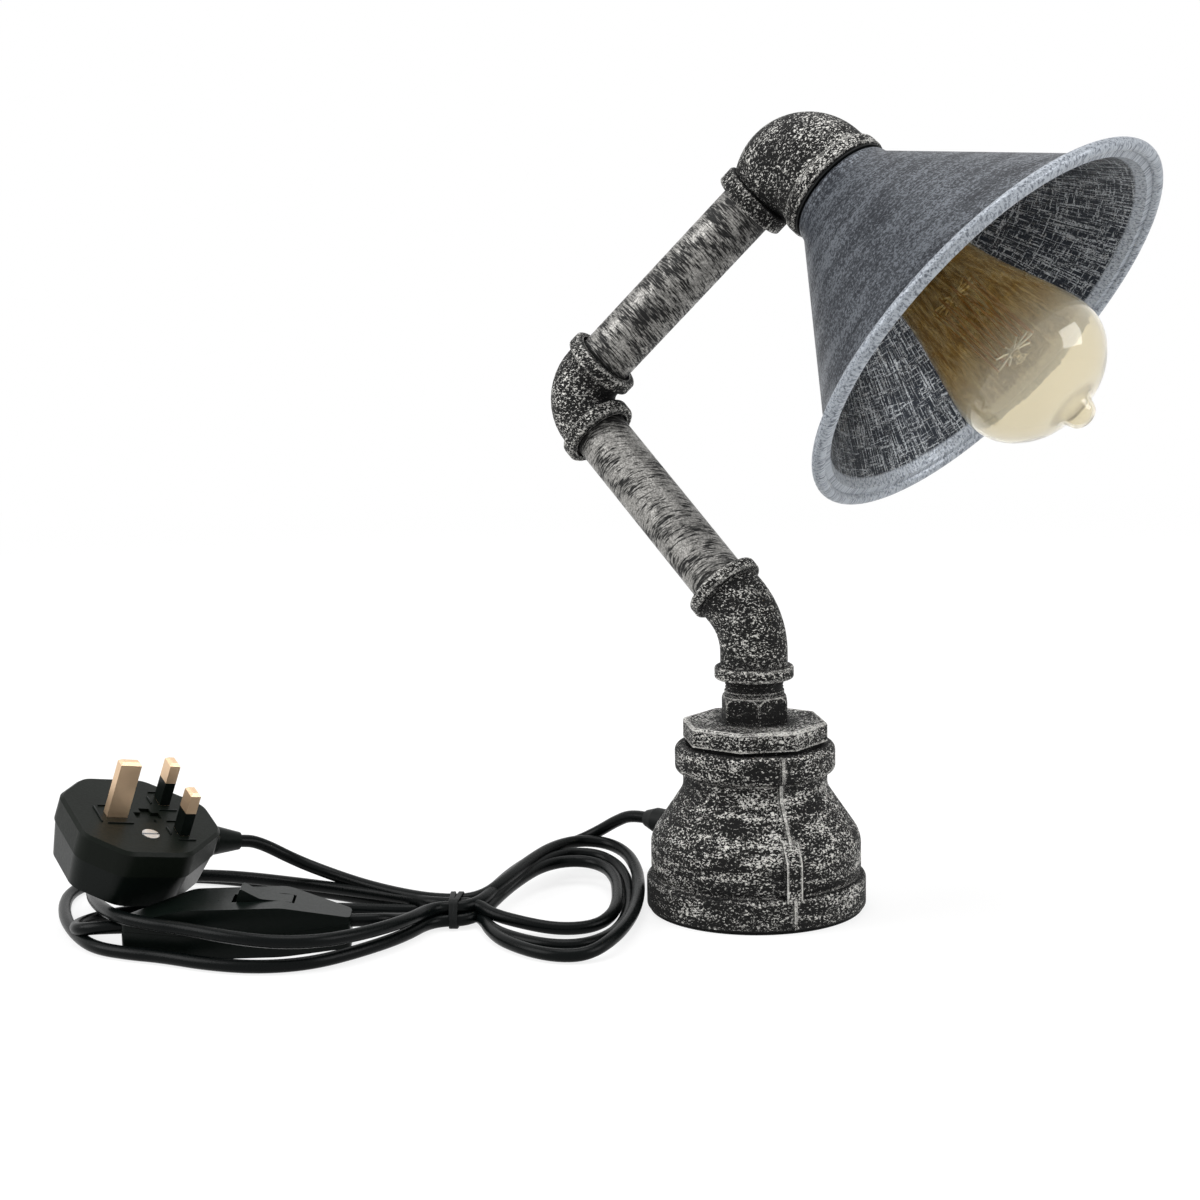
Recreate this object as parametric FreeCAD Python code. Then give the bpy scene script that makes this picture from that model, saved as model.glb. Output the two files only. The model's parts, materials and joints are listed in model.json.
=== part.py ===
"""Industrial pipe table lamp, built from half-inch pipe fittings.

Frame: origin on the axis of the foot at the table top, +Z up, -Y to the front.
The arm stands in one upright plane that is turned about Z, and its upper half is
swung a little about the lower pipe.  All sizes are in millimetres and degrees.
"""
import FreeCAD, Part
import math
import os

from FreeCAD import Placement, Rotation, Vector

# ------------------------------------------------------------------ fits
thread_gap = 0.05          # radial gap of a screwed fit
running_gap = 0.06         # radial gap of a fit that turns
joint_gap = 0.3            # gap between faces that move past each other
seat_gap = 0.1             # gap between faces that rest on each other

# ------------------------------------------------------------------ arm layout
arm_turn = 34.5            # the arm's plane, turned clockwise from +X
upper_swing = 13.6         # the upper half, swung about the lower pipe
lower_bend = 46.0          # angle of each elbow
middle_bend = 90.0
head_bend = 85.4
lower_arm_length = 119.0       # corner to corner along each pipe
upper_arm_length = 129.0

# ------------------------------------------------------------------ half-inch pipe and elbows
pipe_radius = 21.3 / 2
pipe_wall = 2.65
socket_depth = 9.5         # how far a pipe goes into a fitting
socket_mouth_radius = 11.9
socket_mouth_depth = 1.4
elbow_body_radius = 12.6
elbow_bore_radius = 9.3
elbow_bend_radius = 13.5
elbow_reach = 21.2         # corner to the face of each band
elbow_band_radius = 14.8
elbow_band_width = 5.5
band_round = 1.1
obtuse_bend_radius = 25.0
obtuse_reach = 20.5
obtuse_band_width = 4.9

# ------------------------------------------------------------------ reducing elbow at the head
head_small_reach = 27.4
head_small_band_width = 6.8
head_reach = 22.6          # corner to the face that carries the shade
head_band_radius = 22.2
head_band_width = 5.4
head_neck_radius = 21.0    # casting just behind the large band
head_body_radius = 20.6    # casting where the bend ends
head_wall = 3.1
crotch_gap = 1.4           # inner side of the bend to the hinge line of its sections
head_sections = 7
head_port_radius = 18.15
head_port_depth = 8.2

# ------------------------------------------------------------------ foot
pad_thickness = 1.2
pad_radius = 40.4
foot_band_radius = 41.4
foot_band_top = 12.6
foot_groove_radius = 38.7
foot_body_radius = 39.6
foot_body_top = 28.0
foot_shoulder_top = 46.4
foot_neck_radius = 27.1
neck_band_radius = 30.1
neck_band_bottom = 52.2
neck_band_top = 62.9
foot_wall = 4.0
foot_mouth_radius = 37.0
foot_mouth_depth = 9.0
neck_bore_radius = 24.0
rib_angle = -70.0          # parting ribs, here and on the far side
rib_width = 6.0
rib_radius = 41.2
rib_top = 31.0
seam_width = 1.1
seam_height = 0.5

# ------------------------------------------------------------------ bush and nipple
bush_height = 7.2
bush_corner_radius = 27.6
bush_turn = -11.0          # first corner, from the front
bush_gap = 1.3             # lift of the octagon above the neck band
bush_shank_length = 12.0
nipple_thread_radius = 10.48
nipple_flats = 23.0
nipple_hex_height = 9.8
nipple_shoulder_radius = 11.2
nipple_shoulder_height = 2.6
nipple_bore_radius = 7.5
nipple_lower_length = 10.5
nipple_thread_shown = 3.6  # between the shoulder and the lower elbow
nipple_turn = 8.0

# ------------------------------------------------------------------ lead, cord grip and inner wires
cord_radius = 2.4
grip_angle = 140.0
grip_height = 24.5
grip_shank_radius = 5.0
grip_flange_radius = 6.8
grip_flange_width = 2.4
grip_nose_radius = 3.3
grip_body_radius = 4.9
grip_reach = 16.0          # how far it stands out of the foot
grip_nut_radius = 8.5
grip_nut_width = 3.2

# ------------------------------------------------------------------ head, as reaches along its axis
washer_thickness = 0.7
shade_apex = -2.5          # where the cone's point would be
shade_half_angle = 36.1
shade_thickness = 1.0
shade_collar_radius = 21.4 # short collar between the seat and the cone
shade_collar_end = 27.7
shade_collar_round = 8.0
shade_rim_reach = 104.4
rim_roll_radius = 2.4
rim_flare = 2.0            # flat step between the cone and the roll
shade_shoulder_round = 2.5
holder_radius = 18.0
holder_lip_radius = 16.6
holder_start = 14.6
holder_floor = 6.4
holder_step = 40.0
holder_end = 51.0
holder_bore_radius = 13.8
holder_cap_radius = 15.6
holder_cap_start = 9.0
holder_cap_slope = 4.0
shell_wall = 0.4
contact_radius = 4.0
ring_width = 4.6
ring_notches = 16
ring_notch_radius = 1.2
bulb_start = 23.0
bulb_cap_radius = 13.0
bulb_neck_radius = 12.4
bulb_cap_length = 26.5
bulb_tip_radius = 4.8
bulb_tip_height = 1.4
bulb_insulator_height = 4.2
bulb_radius = 29.0
bulb_widest = 123.0
bulb_dome_end = 145.4
bulb_end = 152.0
bulb_pip_radius = 6.3
bulb_wall = 0.9
stem_pinch_radius = 4.2
stem_rod_radius = 1.7
stem_rod_end = 117.0
cage_radius = 9.5
cage_runs = 10
cage_low = 84.0
cage_high = 114.0
filament_radius = 0.3
spoke_radius = 0.35
lead_wire_radius = 0.25
lead_wire_start = 19.0     # above the cap's edge, where the lead wires leave the pinch
collar_gap = 0.02
collar_wall = 0.8
collar_half = 0.8

# ------------------------------------------------------------------ inline switch
switch_length = 82.0
switch_width = 29.0
switch_end_width = 12.0
switch_height = 18.0
switch_end_height = 11.0
switch_split = 8.5
switch_wall = 2.2
switch_centre = Vector(-187.0, -54.0, 0.0)
switch_turn = 6.0
rocker_offset = 10.0
rocker_length = 20.0
rocker_width = 9.5
rocker_tilt = 9.0
rocker_pin_radius = 1.2
rocker_pin_drop = 2.6

# ------------------------------------------------------------------ three-pin plug
plug_centre = Vector(-226.5, -29.5, 42.6)
plug_heading = 36.2        # from the earth pin towards the other two
plug_tilt = 22.3
plug_tilt_way = -25.0
plug_length = 57.0
plug_width = 55.0
plug_corner = 13.0
plug_round = 9.0
plug_inner_round = 3.0
plug_base_height = 10.0
plug_cover_height = 13.4
plug_cover_inset = 2.2
plug_wall = 2.6
pin_row = 22.2             # earth pin to the other two, and between those
earth_pin_size = (8.0, 4.0, 22.7)
live_pin_size = (4.0, 6.35, 17.7)
pin_root = 6.0
pin_chamfer = 1.0
sleeve_length = 9.4
sleeve_wall = 0.5
boot_length = 13.0
boot_radius = 5.6
boot_nose_radius = 3.4
fuse_radius = 3.15
fuse_length = 25.4
plug_screw_radius = 3.2

# ------------------------------------------------------------------ hank
hank_height = 9.6
hank_low_height = 4.8
tie_centre = Vector(-110.0, -24.0, 0.0)
tie_width = 3.2
tie_thickness = 1.3
tie_bundle_width = 17.0

# outlines seen from above; corners are rounded by the radius given with them
hank_outer_round = 7.0
hank_inner_round = 5.5
hank_right_outline = [
    (-114, -16), (-104, -8), (-98, 12), (-90, 34), (-76, 49), (-62, 46), (-51, 32), (-46, 12),
    (-44.6, -8), (-44.8, -30), (-49, -52), (-63, -70), (-84, -62), (-98, -38), (-114, -33),
]
hank_right_hole = [(-88, -22), (-80, 2), (-68, 25), (-61, 14), (-59, -10), (-61, -36), (-68, -50), (-80, -42)]
hank_left_outline = [
    (-112, -16), (-140, 3), (-175, 15), (-210, 25), (-244, 24), (-265, 4), (-266, -22),
    (-254, -54), (-222, -89), (-176, -100), (-140, -81), (-123, -53), (-112, -33),
]
hank_left_hole = [
    (-128, -27), (-150, -12), (-180, -2), (-212, 6), (-238, 6), (-249, -6), (-249, -22),
    (-241, -50), (-222, -75), (-180, -84), (-147, -68), (-134, -49),
]

x_axis = Vector(1, 0, 0)
y_axis = Vector(0, 1, 0)
z_axis = Vector(0, 0, 1)
origin = Vector(0, 0, 0)


# ------------------------------------------------------------------ small helpers
def turned_vector(vector, axis, angle):
    return Rotation(axis, angle).multVec(vector)


def rounded_wire(points, radius, closed=False):
    """Straight runs joined by tangent arcs; radius is one value or one per corner."""
    count = len(points)
    corners = range(count) if closed else range(1, count - 1)
    cuts = {}
    for i in corners:
        before, here, after = points[i - 1], points[i], points[(i + 1) % count]
        r = radius[i] if isinstance(radius, (list, tuple)) else radius
        a = (before - here).normalize()
        b = (after - here).normalize()
        half = a.getAngle(b) / 2
        if r <= 0 or math.pi / 2 - half < 1e-4:
            continue
        reach = r / math.tan(half)
        middle = here + (a + b).normalize() * (r / math.sin(half) - r)
        cuts[i] = (here + a * reach, middle, here + b * reach)
    edges = []
    last = count if closed else count - 1
    for i in range(last):
        j = (i + 1) % count
        start = cuts[i][2] if i in cuts else points[i]
        end = cuts[j][0] if j in cuts else points[j]
        if start.distanceToPoint(end) > 1e-6:
            edges.append(Part.LineSegment(start, end).toShape())
        if j in cuts:
            edges.append(Part.Arc(cuts[j][0], cuts[j][1], cuts[j][2]).toShape())
    return Part.Wire(Part.__sortEdges__(edges))


def turned(outline, radius=0.0):
    """A solid turned about Z from a closed outline of (radius, height) corners."""
    points = [Vector(r, 0, z) for r, z in outline]
    face = Part.Face(rounded_wire(points, radius, closed=True))
    return face.revolve(origin, z_axis, 360)


def ring(inner, outer, low, high, rounding=0.0):
    corners = [(inner, low), (outer, low), (outer, high), (inner, high)]
    return turned(corners, [0.0, rounding, rounding, 0.0])


def rod(radius, low, high):
    return Part.makeCylinder(radius, high - low, Vector(0, 0, low))


def aimed(shape, place, way):
    """Carries a shape built along Z to a place, pointing a way."""
    moved = shape.copy()
    moved.Placement = Placement(place, Rotation(z_axis, way)).multiply(moved.Placement)
    return moved


def fused(first, *others):
    return first.multiFuse(list(others)).removeSplitter()


def swept(points, bend_radius, radius):
    """A round rod along straight runs and tangent arcs."""
    path = rounded_wire(points, bend_radius)
    start_way = (points[1] - points[0]).normalize()
    circle = Part.Wire(Part.makeCircle(radius, points[0], start_way))
    return path.makePipeShell([circle], True, True)


def prism(outline, low, high, rounding=0.0):
    """An upright solid over a closed outline of (x, y) corners."""
    points = [Vector(x, y, low) for x, y in outline]
    face = Part.Face(rounded_wire(points, rounding, closed=True))
    return face.extrude(Vector(0, 0, high - low))


def save(name, shape):
    solids = shape.Solids
    result = solids[0] if len(solids) == 1 else Part.makeCompound(solids)
    assert solids and all(s.isValid() and s.Volume > 0 for s in solids), name
    result.exportStep("parts/%s.step" % name)
    print("%-18s %2d solid(s)  %10.1f mm3" % (name, len(solids), sum(s.Volume for s in solids)))


# ------------------------------------------------------------------ arm frame
def flat_way(angle_from_up):
    """A direction in the arm's own plane before it is turned, leaning to +X."""
    a = math.radians(angle_from_up)
    return Vector(math.sin(a), 0, math.cos(a))


bush_bottom = neck_band_top + bush_gap
bush_top = bush_bottom + bush_height
nipple_hex_top = bush_top + nipple_hex_height
lower_elbow_bottom = nipple_hex_top + nipple_shoulder_height + nipple_thread_shown
lower_corner_height = lower_elbow_bottom + obtuse_reach
nipple_top = lower_elbow_bottom + socket_depth

upper_lean = middle_bend - lower_bend
lower_way = flat_way(-lower_bend)
upper_way = flat_way(upper_lean)
head_way = flat_way(upper_lean + head_bend)
lower_corner = Vector(0, 0, lower_corner_height)
middle_corner = lower_corner + lower_way * lower_arm_length
head_corner = middle_corner + upper_way * upper_arm_length


def place_lower(shape):
    moved = shape.copy()
    moved.rotate(origin, z_axis, -arm_turn)
    return moved


def place_upper(shape):
    moved = shape.copy()
    moved.rotate(middle_corner, lower_way, upper_swing)
    return place_lower(moved)


def place_head(shape):
    """For what is built along Z from the head's corner."""
    return place_upper(aimed(shape, head_corner, head_way))


# ------------------------------------------------------------------ foot
def foot_outline(grow=0.0):
    """Outer side of the casting from the mouth to the neck band's top."""
    return [
        (foot_band_radius + grow, pad_thickness),
        (foot_band_radius + grow, foot_band_top),
        (foot_groove_radius + grow, foot_band_top + 0.4),
        (foot_body_radius + grow, foot_band_top + 3.0),
        (foot_body_radius + grow, foot_body_top),
        (foot_neck_radius + grow, foot_shoulder_top),
        (foot_neck_radius + grow, neck_band_bottom),
        (neck_band_radius + grow, neck_band_bottom),
        (neck_band_radius + grow, neck_band_top),
    ]


foot_rounding = [0.8, 1.6, 0.5, 6.0, 12.0, 7.0, 0.8, 2.6, 2.6]


def foot_cavity_outline():
    mouth_top = pad_thickness + foot_mouth_depth
    return [
        (0.0, 0.0),
        (foot_mouth_radius, 0.0),
        (foot_mouth_radius, mouth_top),
        (foot_inner_radius, mouth_top + 1.5),
        (foot_inner_radius, foot_body_top - 1.0),
        (neck_bore_radius, foot_shoulder_top - foot_wall / 2),
        (neck_bore_radius, neck_band_top - 1.6),
        (neck_bore_radius + 2.2, neck_band_top + 0.01),
        (0.0, neck_band_top + 0.01),
    ]


def foot_casting():
    inner = neck_bore_radius - 3.0
    outer = turned([(inner, pad_thickness)] + foot_outline() + [(inner, neck_band_top)],
                   [0.0] + foot_rounding + [0.0])
    grown = turned([(inner, pad_thickness)] + foot_outline(seam_height) + [(inner, neck_band_top - 0.6)],
                   [0.0] + foot_rounding + [0.0])
    for turn in (rib_angle, rib_angle + 180.0):
        seam = Part.makeBox(foot_band_radius + 5, seam_width, neck_band_top,
                            Vector(0, -seam_width / 2, 0)).common(grown)
        rib_side = [
            Vector(foot_neck_radius, 0, pad_thickness + 3), Vector(rib_radius, 0, pad_thickness + 3),
            Vector(rib_radius, 0, rib_top - 5), Vector(foot_body_radius - 3, 0, rib_top + 2),
            Vector(foot_neck_radius, 0, rib_top + 2),
        ]
        face = Part.Face(rounded_wire(rib_side, [0, 0, 3.0, 0, 0], closed=True))
        rib = face.extrude(Vector(0, rib_width, 0))
        rib.translate(Vector(0, -rib_width / 2, 0))
        for piece in (seam, rib):
            piece.rotate(origin, z_axis, turn)
        outer = outer.fuse(seam).fuse(rib)
    hollow = turned(foot_cavity_outline(), [0, 0, 0, 2.0, 8.0, 3.0, 0, 0, 0])
    hole = grip_placed(rod(grip_shank_radius + thread_gap, 0, foot_band_radius + 5))
    spot_face = grip_placed(rod(grip_nut_radius + joint_gap, 0, grip_nut_seat + seat_gap))
    return outer.cut(hollow).cut(hole).cut(spot_face)


def foot_pad():
    """A soft disc under the casting, which closes its hollow."""
    top = pad_thickness - seat_gap
    return turned([(0, 0), (pad_radius, 0), (pad_radius, top), (0, top)], [0, 0.3, 0.3, 0])


# ------------------------------------------------------------------ bush and nipple
def octagon_bush():
    corners = []
    for k in range(8):
        a = math.radians(bush_turn - 90.0 + 45.0 * k)
        corners.append((bush_corner_radius * math.cos(a), bush_corner_radius * math.sin(a)))
    head = prism(corners, bush_bottom, bush_top, 0.9)
    edges = [e for e in head.Edges if all(abs(v.Z - bush_top) < 1e-6 for v in e.Vertexes)]
    head = head.makeChamfer(0.7, edges)
    shank = rod(neck_bore_radius - thread_gap, bush_bottom - bush_shank_length, bush_bottom)
    bore = rod(nipple_thread_radius + thread_gap, 0, bush_top + 1)
    mouth = turned([(0, bush_top - 1.2), (nipple_thread_radius, bush_top - 1.2),
                    (nipple_thread_radius + 1.2, bush_top + 0.01), (0, bush_top + 0.01)])
    return fused(head, shank).cut(bore).cut(mouth)


def hex_nipple():
    corner_radius = nipple_flats / 2 / math.cos(math.pi / 6)
    corners = []
    for k in range(6):
        a = math.radians(nipple_turn - 90.0 + 60.0 * k)
        corners.append((corner_radius * math.cos(a), corner_radius * math.sin(a)))
    hexagon = prism(corners, bush_top + seat_gap, nipple_hex_top, 0.8)
    cone = turned([(0, bush_top - 8), (corner_radius + 8, bush_top - 8),
                   (nipple_flats / 2 + 0.2, nipple_hex_top + 0.5), (0, nipple_hex_top + 0.5)])
    shoulder = rod(nipple_shoulder_radius, nipple_hex_top, nipple_hex_top + nipple_shoulder_height)
    shoulder = shoulder.makeChamfer(0.8, [shoulder.Edges[0]])
    upper = rod(nipple_thread_radius, nipple_hex_top, nipple_top)
    lower = rod(nipple_thread_radius, bush_top - nipple_lower_length, nipple_hex_top)
    body = fused(hexagon.common(cone), shoulder, upper, lower)
    return body.cut(rod(nipple_bore_radius, 0, nipple_top + 1))


# ------------------------------------------------------------------ fittings
def banded_elbow(corner, way_in, way_out, bend_radius, reach, band_width, bores):
    """Cast elbow with a band at each mouth; bores are the socket radii of the two ends."""
    starts = [corner - way_in * reach, corner + way_out * reach]
    body = swept([starts[0], corner, starts[1]], bend_radius, elbow_body_radius)
    hollow = swept([starts[0] - way_in, corner, starts[1] + way_out], bend_radius, elbow_bore_radius)
    band = ring(elbow_bore_radius + 0.5, elbow_band_radius, 0.0, band_width, band_round)
    mouth = turned([(0, -0.01), (socket_mouth_radius, -0.01),
                    (socket_mouth_radius - 0.5, socket_mouth_depth), (0, socket_mouth_depth)])
    for start, way, bore in zip(starts, (way_in, way_out * -1), bores):
        body = body.fuse(aimed(band, start, way))
        socket = rod(bore, -0.01, socket_depth + joint_gap)
        hollow = hollow.fuse(aimed(socket.fuse(mouth), start, way))
    return body.cut(hollow)


def pipe_between(start, end):
    way = (end - start).normalize()
    length = start.distanceToPoint(end)
    tube = ring(pipe_radius - pipe_wall, pipe_radius, 0.0, length)
    return aimed(tube, start, way)


def head_section_radius(share):
    """Radius of the reducing casting, from 0 at the pipe end to 1 at the shade end."""
    return elbow_body_radius + (head_body_radius - elbow_body_radius) * math.sin(share * math.pi / 2)


def round_section(centre, outward, radius):
    """A circle square to the arm's plane, as four arcs that line up from section to section."""
    points = []
    for k in range(8):
        a = math.pi * k / 4
        points.append(centre + outward * (radius * math.cos(a)) + y_axis * (radius * math.sin(a)))
    arcs = []
    for k in range(0, 8, 2):
        arcs.append(Part.Arc(points[k], points[k + 1], points[(k + 2) % 8]).toShape())
    return Part.Wire(arcs)


head_sine = math.sin(math.radians(head_bend))
head_pivot = (head_corner - upper_way * ((crotch_gap + head_body_radius) / head_sine)
              + head_way * ((crotch_gap + elbow_body_radius) / head_sine))
head_small_end = (head_pivot - head_corner).dot(upper_way)
head_large_end = (head_pivot - head_corner).dot(head_way)


def head_bend_solid(thinner):
    """The reducing bend: round sections fanned about a line at its inner side."""
    to_axis = turned_vector(upper_way, y_axis, -90)
    sections = []
    for k in range(head_sections):
        share = k / (head_sections - 1)
        outward = turned_vector(to_axis, y_axis, head_bend * share)
        radius = head_section_radius(share)
        centre = head_pivot + outward * (crotch_gap + radius)
        sections.append(round_section(centre, outward, radius - thinner))
    return Part.makeLoft(sections, True)


def reducing_elbow():
    small_face = -head_small_reach
    small_end = [
        rod(elbow_body_radius, small_face, head_small_end),
        ring(elbow_bore_radius, elbow_band_radius, small_face, small_face + head_small_band_width, band_round),
    ]
    band_start = head_reach - head_band_width
    large_end = turned([
        (0, head_large_end), (head_body_radius, head_large_end),
        (head_body_radius, head_large_end + 1.0), (head_neck_radius, band_start),
        (head_band_radius, band_start), (head_band_radius, head_reach), (0, head_reach),
    ], [0, 0, 3.0, 0.6, band_round, band_round, 0])
    outer = head_bend_solid(0.0)
    for piece in small_end:
        outer = outer.fuse(aimed(piece, head_corner, upper_way))
    outer = outer.fuse(aimed(large_end, head_corner, head_way))

    socket = rod(pipe_radius + running_gap, small_face - 0.01, small_face + socket_depth + joint_gap)
    mouth = turned([(0, small_face - 0.01), (socket_mouth_radius, small_face - 0.01),
                    (socket_mouth_radius - 0.5, small_face + 1.0), (0, small_face + 1.0)])
    throat = rod(elbow_body_radius - head_wall, small_face + 1, head_small_end)
    port = rod(head_port_radius, head_reach - head_port_depth, head_reach + 1)
    port_throat = rod(head_body_radius - head_wall, head_large_end, head_reach)
    inner = head_bend_solid(head_wall)
    for piece in (socket, mouth, throat):
        inner = inner.fuse(aimed(piece, head_corner, upper_way))
    for piece in (port, port_throat):
        inner = inner.fuse(aimed(piece, head_corner, head_way))
    return outer.cut(inner)


# ------------------------------------------------------------------ shade and holder
shade_start = head_reach + washer_thickness + 2 * seat_gap
shade_slope = math.tan(math.radians(shade_half_angle))
shade_skin = shade_thickness / math.cos(math.radians(shade_half_angle))


def cone_radius(reach):
    return (reach - shade_apex) * shade_slope


def shade_shell():
    """A spun cone with a collar and a flat seat round the holder, and an edge rolled outwards."""
    roll_centre = shade_rim_reach - rim_roll_radius
    edge = roll_centre + shade_thickness / 2
    seat_end = shade_start + shade_thickness
    hole = holder_radius + joint_gap
    shell = turned([
        (hole, shade_start), (shade_collar_radius, shade_start),
        (cone_radius(shade_collar_end), shade_collar_end), (cone_radius(edge), edge),
        (cone_radius(edge) - shade_skin, edge), (cone_radius(shade_collar_end) - shade_skin, shade_collar_end),
        (shade_collar_radius - shade_thickness, seat_end), (hole, seat_end),
    ], [0, shade_shoulder_round, shade_collar_round, 0, 0, shade_collar_round,
        shade_shoulder_round - shade_thickness, 0])
    roll_radius = cone_radius(edge) + rim_flare + rim_roll_radius - shade_skin / 2
    roll = Part.makeTorus(roll_radius, rim_roll_radius, Vector(0, 0, roll_centre), z_axis)
    step = ring(cone_radius(edge) - shade_skin, roll_radius - rim_roll_radius / 2, edge - shade_thickness, edge)
    return fused(shell, roll, step)


def shade_washer():
    return ring(holder_radius + joint_gap, shade_collar_radius, head_reach + seat_gap, shade_start - seat_gap)


def shade_ring():
    """Screwed on the holder, it clamps the shade's seat inside the collar."""
    low = shade_start + shade_thickness + seat_gap
    high = low + ring_width
    outer = shade_collar_radius - shade_thickness - joint_gap
    body = turned([(holder_radius + thread_gap, low), (outer, low), (outer, high),
                   (holder_radius + thread_gap, high)], [0, shade_shoulder_round - shade_thickness, 0.4, 0])
    reach = outer + ring_notch_radius / 2
    notch = rod(ring_notch_radius, low - 1, high + 1)
    for k in range(ring_notches):
        a = 2 * math.pi * k / ring_notches
        body = body.cut(notch.translated(Vector(reach * math.cos(a), reach * math.sin(a), 0)))
    return body


def holder_body():
    floor = holder_start + holder_floor
    return turned([
        (contact_radius / 2, holder_start), (holder_radius, holder_start), (holder_radius, holder_step),
        (holder_lip_radius, holder_step + 1.0), (holder_lip_radius, holder_end),
        (holder_bore_radius, holder_end), (holder_bore_radius, floor), (contact_radius / 2, floor),
    ], [0, 0.6, 0.5, 0.5, 1.2, 0.5, 0, 0])


def holder_cap():
    return turned([
        (0, holder_cap_start), (holder_cap_radius - holder_cap_slope, holder_cap_start),
        (holder_cap_radius, holder_cap_start + holder_cap_slope), (holder_cap_radius, holder_start - seat_gap),
        (0, holder_start - seat_gap),
    ], [0, 1.5, 1.5, 0, 0])


def holder_shell():
    floor = holder_start + holder_floor
    outer = holder_bore_radius - thread_gap
    return ring(outer - shell_wall, outer, floor + 1.0, holder_end - 6.0)


def holder_contact():
    """A brass tongue: a rivet through the floor and a raised disc under the bulb."""
    floor = holder_start + holder_floor
    top = bulb_start - joint_gap
    rivet = rod(contact_radius / 2 - thread_gap, holder_start, floor + 0.3)
    return fused(rivet, rod(contact_radius, floor + thread_gap, top))


# ------------------------------------------------------------------ bulb
def spline_edge(points):
    curve = Part.BSplineCurve()
    curve.interpolate(points)
    return curve.toShape()


def bulb_outline(shrink):
    """Envelope from the neck to the pip, as radii against reach."""
    cap_end = bulb_start + bulb_cap_length
    shape = [
        (bulb_neck_radius, cap_end - 3.0), (bulb_neck_radius + 0.1, cap_end + 1.0),
        (15.2, cap_end + 12.0), (18.6, cap_end + 30.5),
        (bulb_radius * 0.84, bulb_widest - 21.0), (bulb_radius * 0.955, bulb_widest - 9.0),
        (bulb_radius, bulb_widest), (bulb_radius * 0.93, bulb_widest + 8.6),
        (bulb_radius * 0.72, bulb_widest + 16.0), (bulb_radius * 0.42, bulb_dome_end - 1.6),
        (bulb_pip_radius, bulb_dome_end + 1.2), (bulb_pip_radius * 0.8, bulb_end - 2.2),
        (bulb_pip_radius * 0.4, bulb_end - 0.4), (0.0, bulb_end),
    ]
    points = []
    for r, z in shape:
        if z > bulb_dome_end:
            points.append(Vector(max(r - shrink, 0.0) if r > 0 else 0.0, 0, z - shrink))
        else:
            points.append(Vector(r - shrink, 0, z - shrink * 0.35 * max(0.0, (z - bulb_widest) / 20)))
    return points


def bulb_glass():
    outer_points = bulb_outline(0.0)
    inner_points = bulb_outline(bulb_wall)
    outer = spline_edge(outer_points)
    inner = spline_edge(inner_points)
    neck = Part.LineSegment(inner_points[0], outer_points[0]).toShape()
    tip = Part.LineSegment(outer_points[-1], inner_points[-1]).toShape()
    face = Part.Face(Part.Wire(Part.__sortEdges__([outer, tip, inner, neck])))
    return face.revolve(origin, z_axis, 360)


def bulb_cap():
    low = bulb_start + bulb_insulator_height
    high = bulb_start + bulb_cap_length
    wall = bulb_cap_radius - bulb_neck_radius - thread_gap
    return turned([
        (bulb_tip_radius + 3, low), (bulb_cap_radius - 1.5, low), (bulb_cap_radius, low + 2.0),
        (bulb_cap_radius, high), (bulb_cap_radius - wall, high),
        (bulb_cap_radius - wall, low + 2.6), (bulb_tip_radius + 3, low + 1.0),
    ])


def bulb_insulator():
    low = bulb_start + bulb_tip_height
    high = bulb_start + bulb_insulator_height
    return turned([
        (0, low), (bulb_tip_radius, low), (bulb_cap_radius - 2.0, high - thread_gap),
        (bulb_tip_radius + 2.9, high - thread_gap), (bulb_tip_radius + 2.9, high + 1.0), (0, high + 1.0),
    ])


def bulb_tip():
    return turned([
        (0, bulb_start), (bulb_tip_radius - 1.4, bulb_start), (bulb_tip_radius, bulb_start + 0.8),
        (bulb_tip_radius, bulb_start + bulb_tip_height - 0.02), (0, bulb_start + bulb_tip_height - 0.02),
    ])


def bulb_stem():
    """Glass mount: a flared foot sealed to the neck, a pinch and a long rod."""
    base = bulb_start + bulb_cap_length
    seal = bulb_neck_radius - bulb_wall - thread_gap
    return turned([
        (0, base + 2.0), (6.0, base - 1.0), (seal, base - 2.0), (seal, base - 1.0),
        (stem_pinch_radius + 1.3, base + 4.0), (stem_pinch_radius, base + 20.0),
        (stem_rod_radius, base + 27.0), (stem_rod_radius, stem_rod_end),
        (stem_rod_radius + 0.9, stem_rod_end + 1.2), (0, stem_rod_end + 2.6),
    ])


def cage_point(k, reach):
    a = 2 * math.pi * k / cage_runs
    return Vector(cage_radius * math.cos(a), cage_radius * math.sin(a), reach)


def wire_run(radius, start, end):
    return Part.makeCylinder(radius, start.distanceToPoint(end), start, end - start)


def bulb_filament():
    """One wire that zigzags round the stem, with both ends low."""
    points = []
    for k in range(cage_runs):
        points.append(cage_point(k, cage_low))
        points.append(cage_point(k + 0.5, cage_high))
    points.pop()
    pieces = []
    for start, end in zip(points, points[1:]):
        pieces.append(wire_run(filament_radius, start, end))
        pieces.append(Part.makeSphere(filament_radius, end))
    return fused(pieces[0], *pieces[1:])


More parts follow.
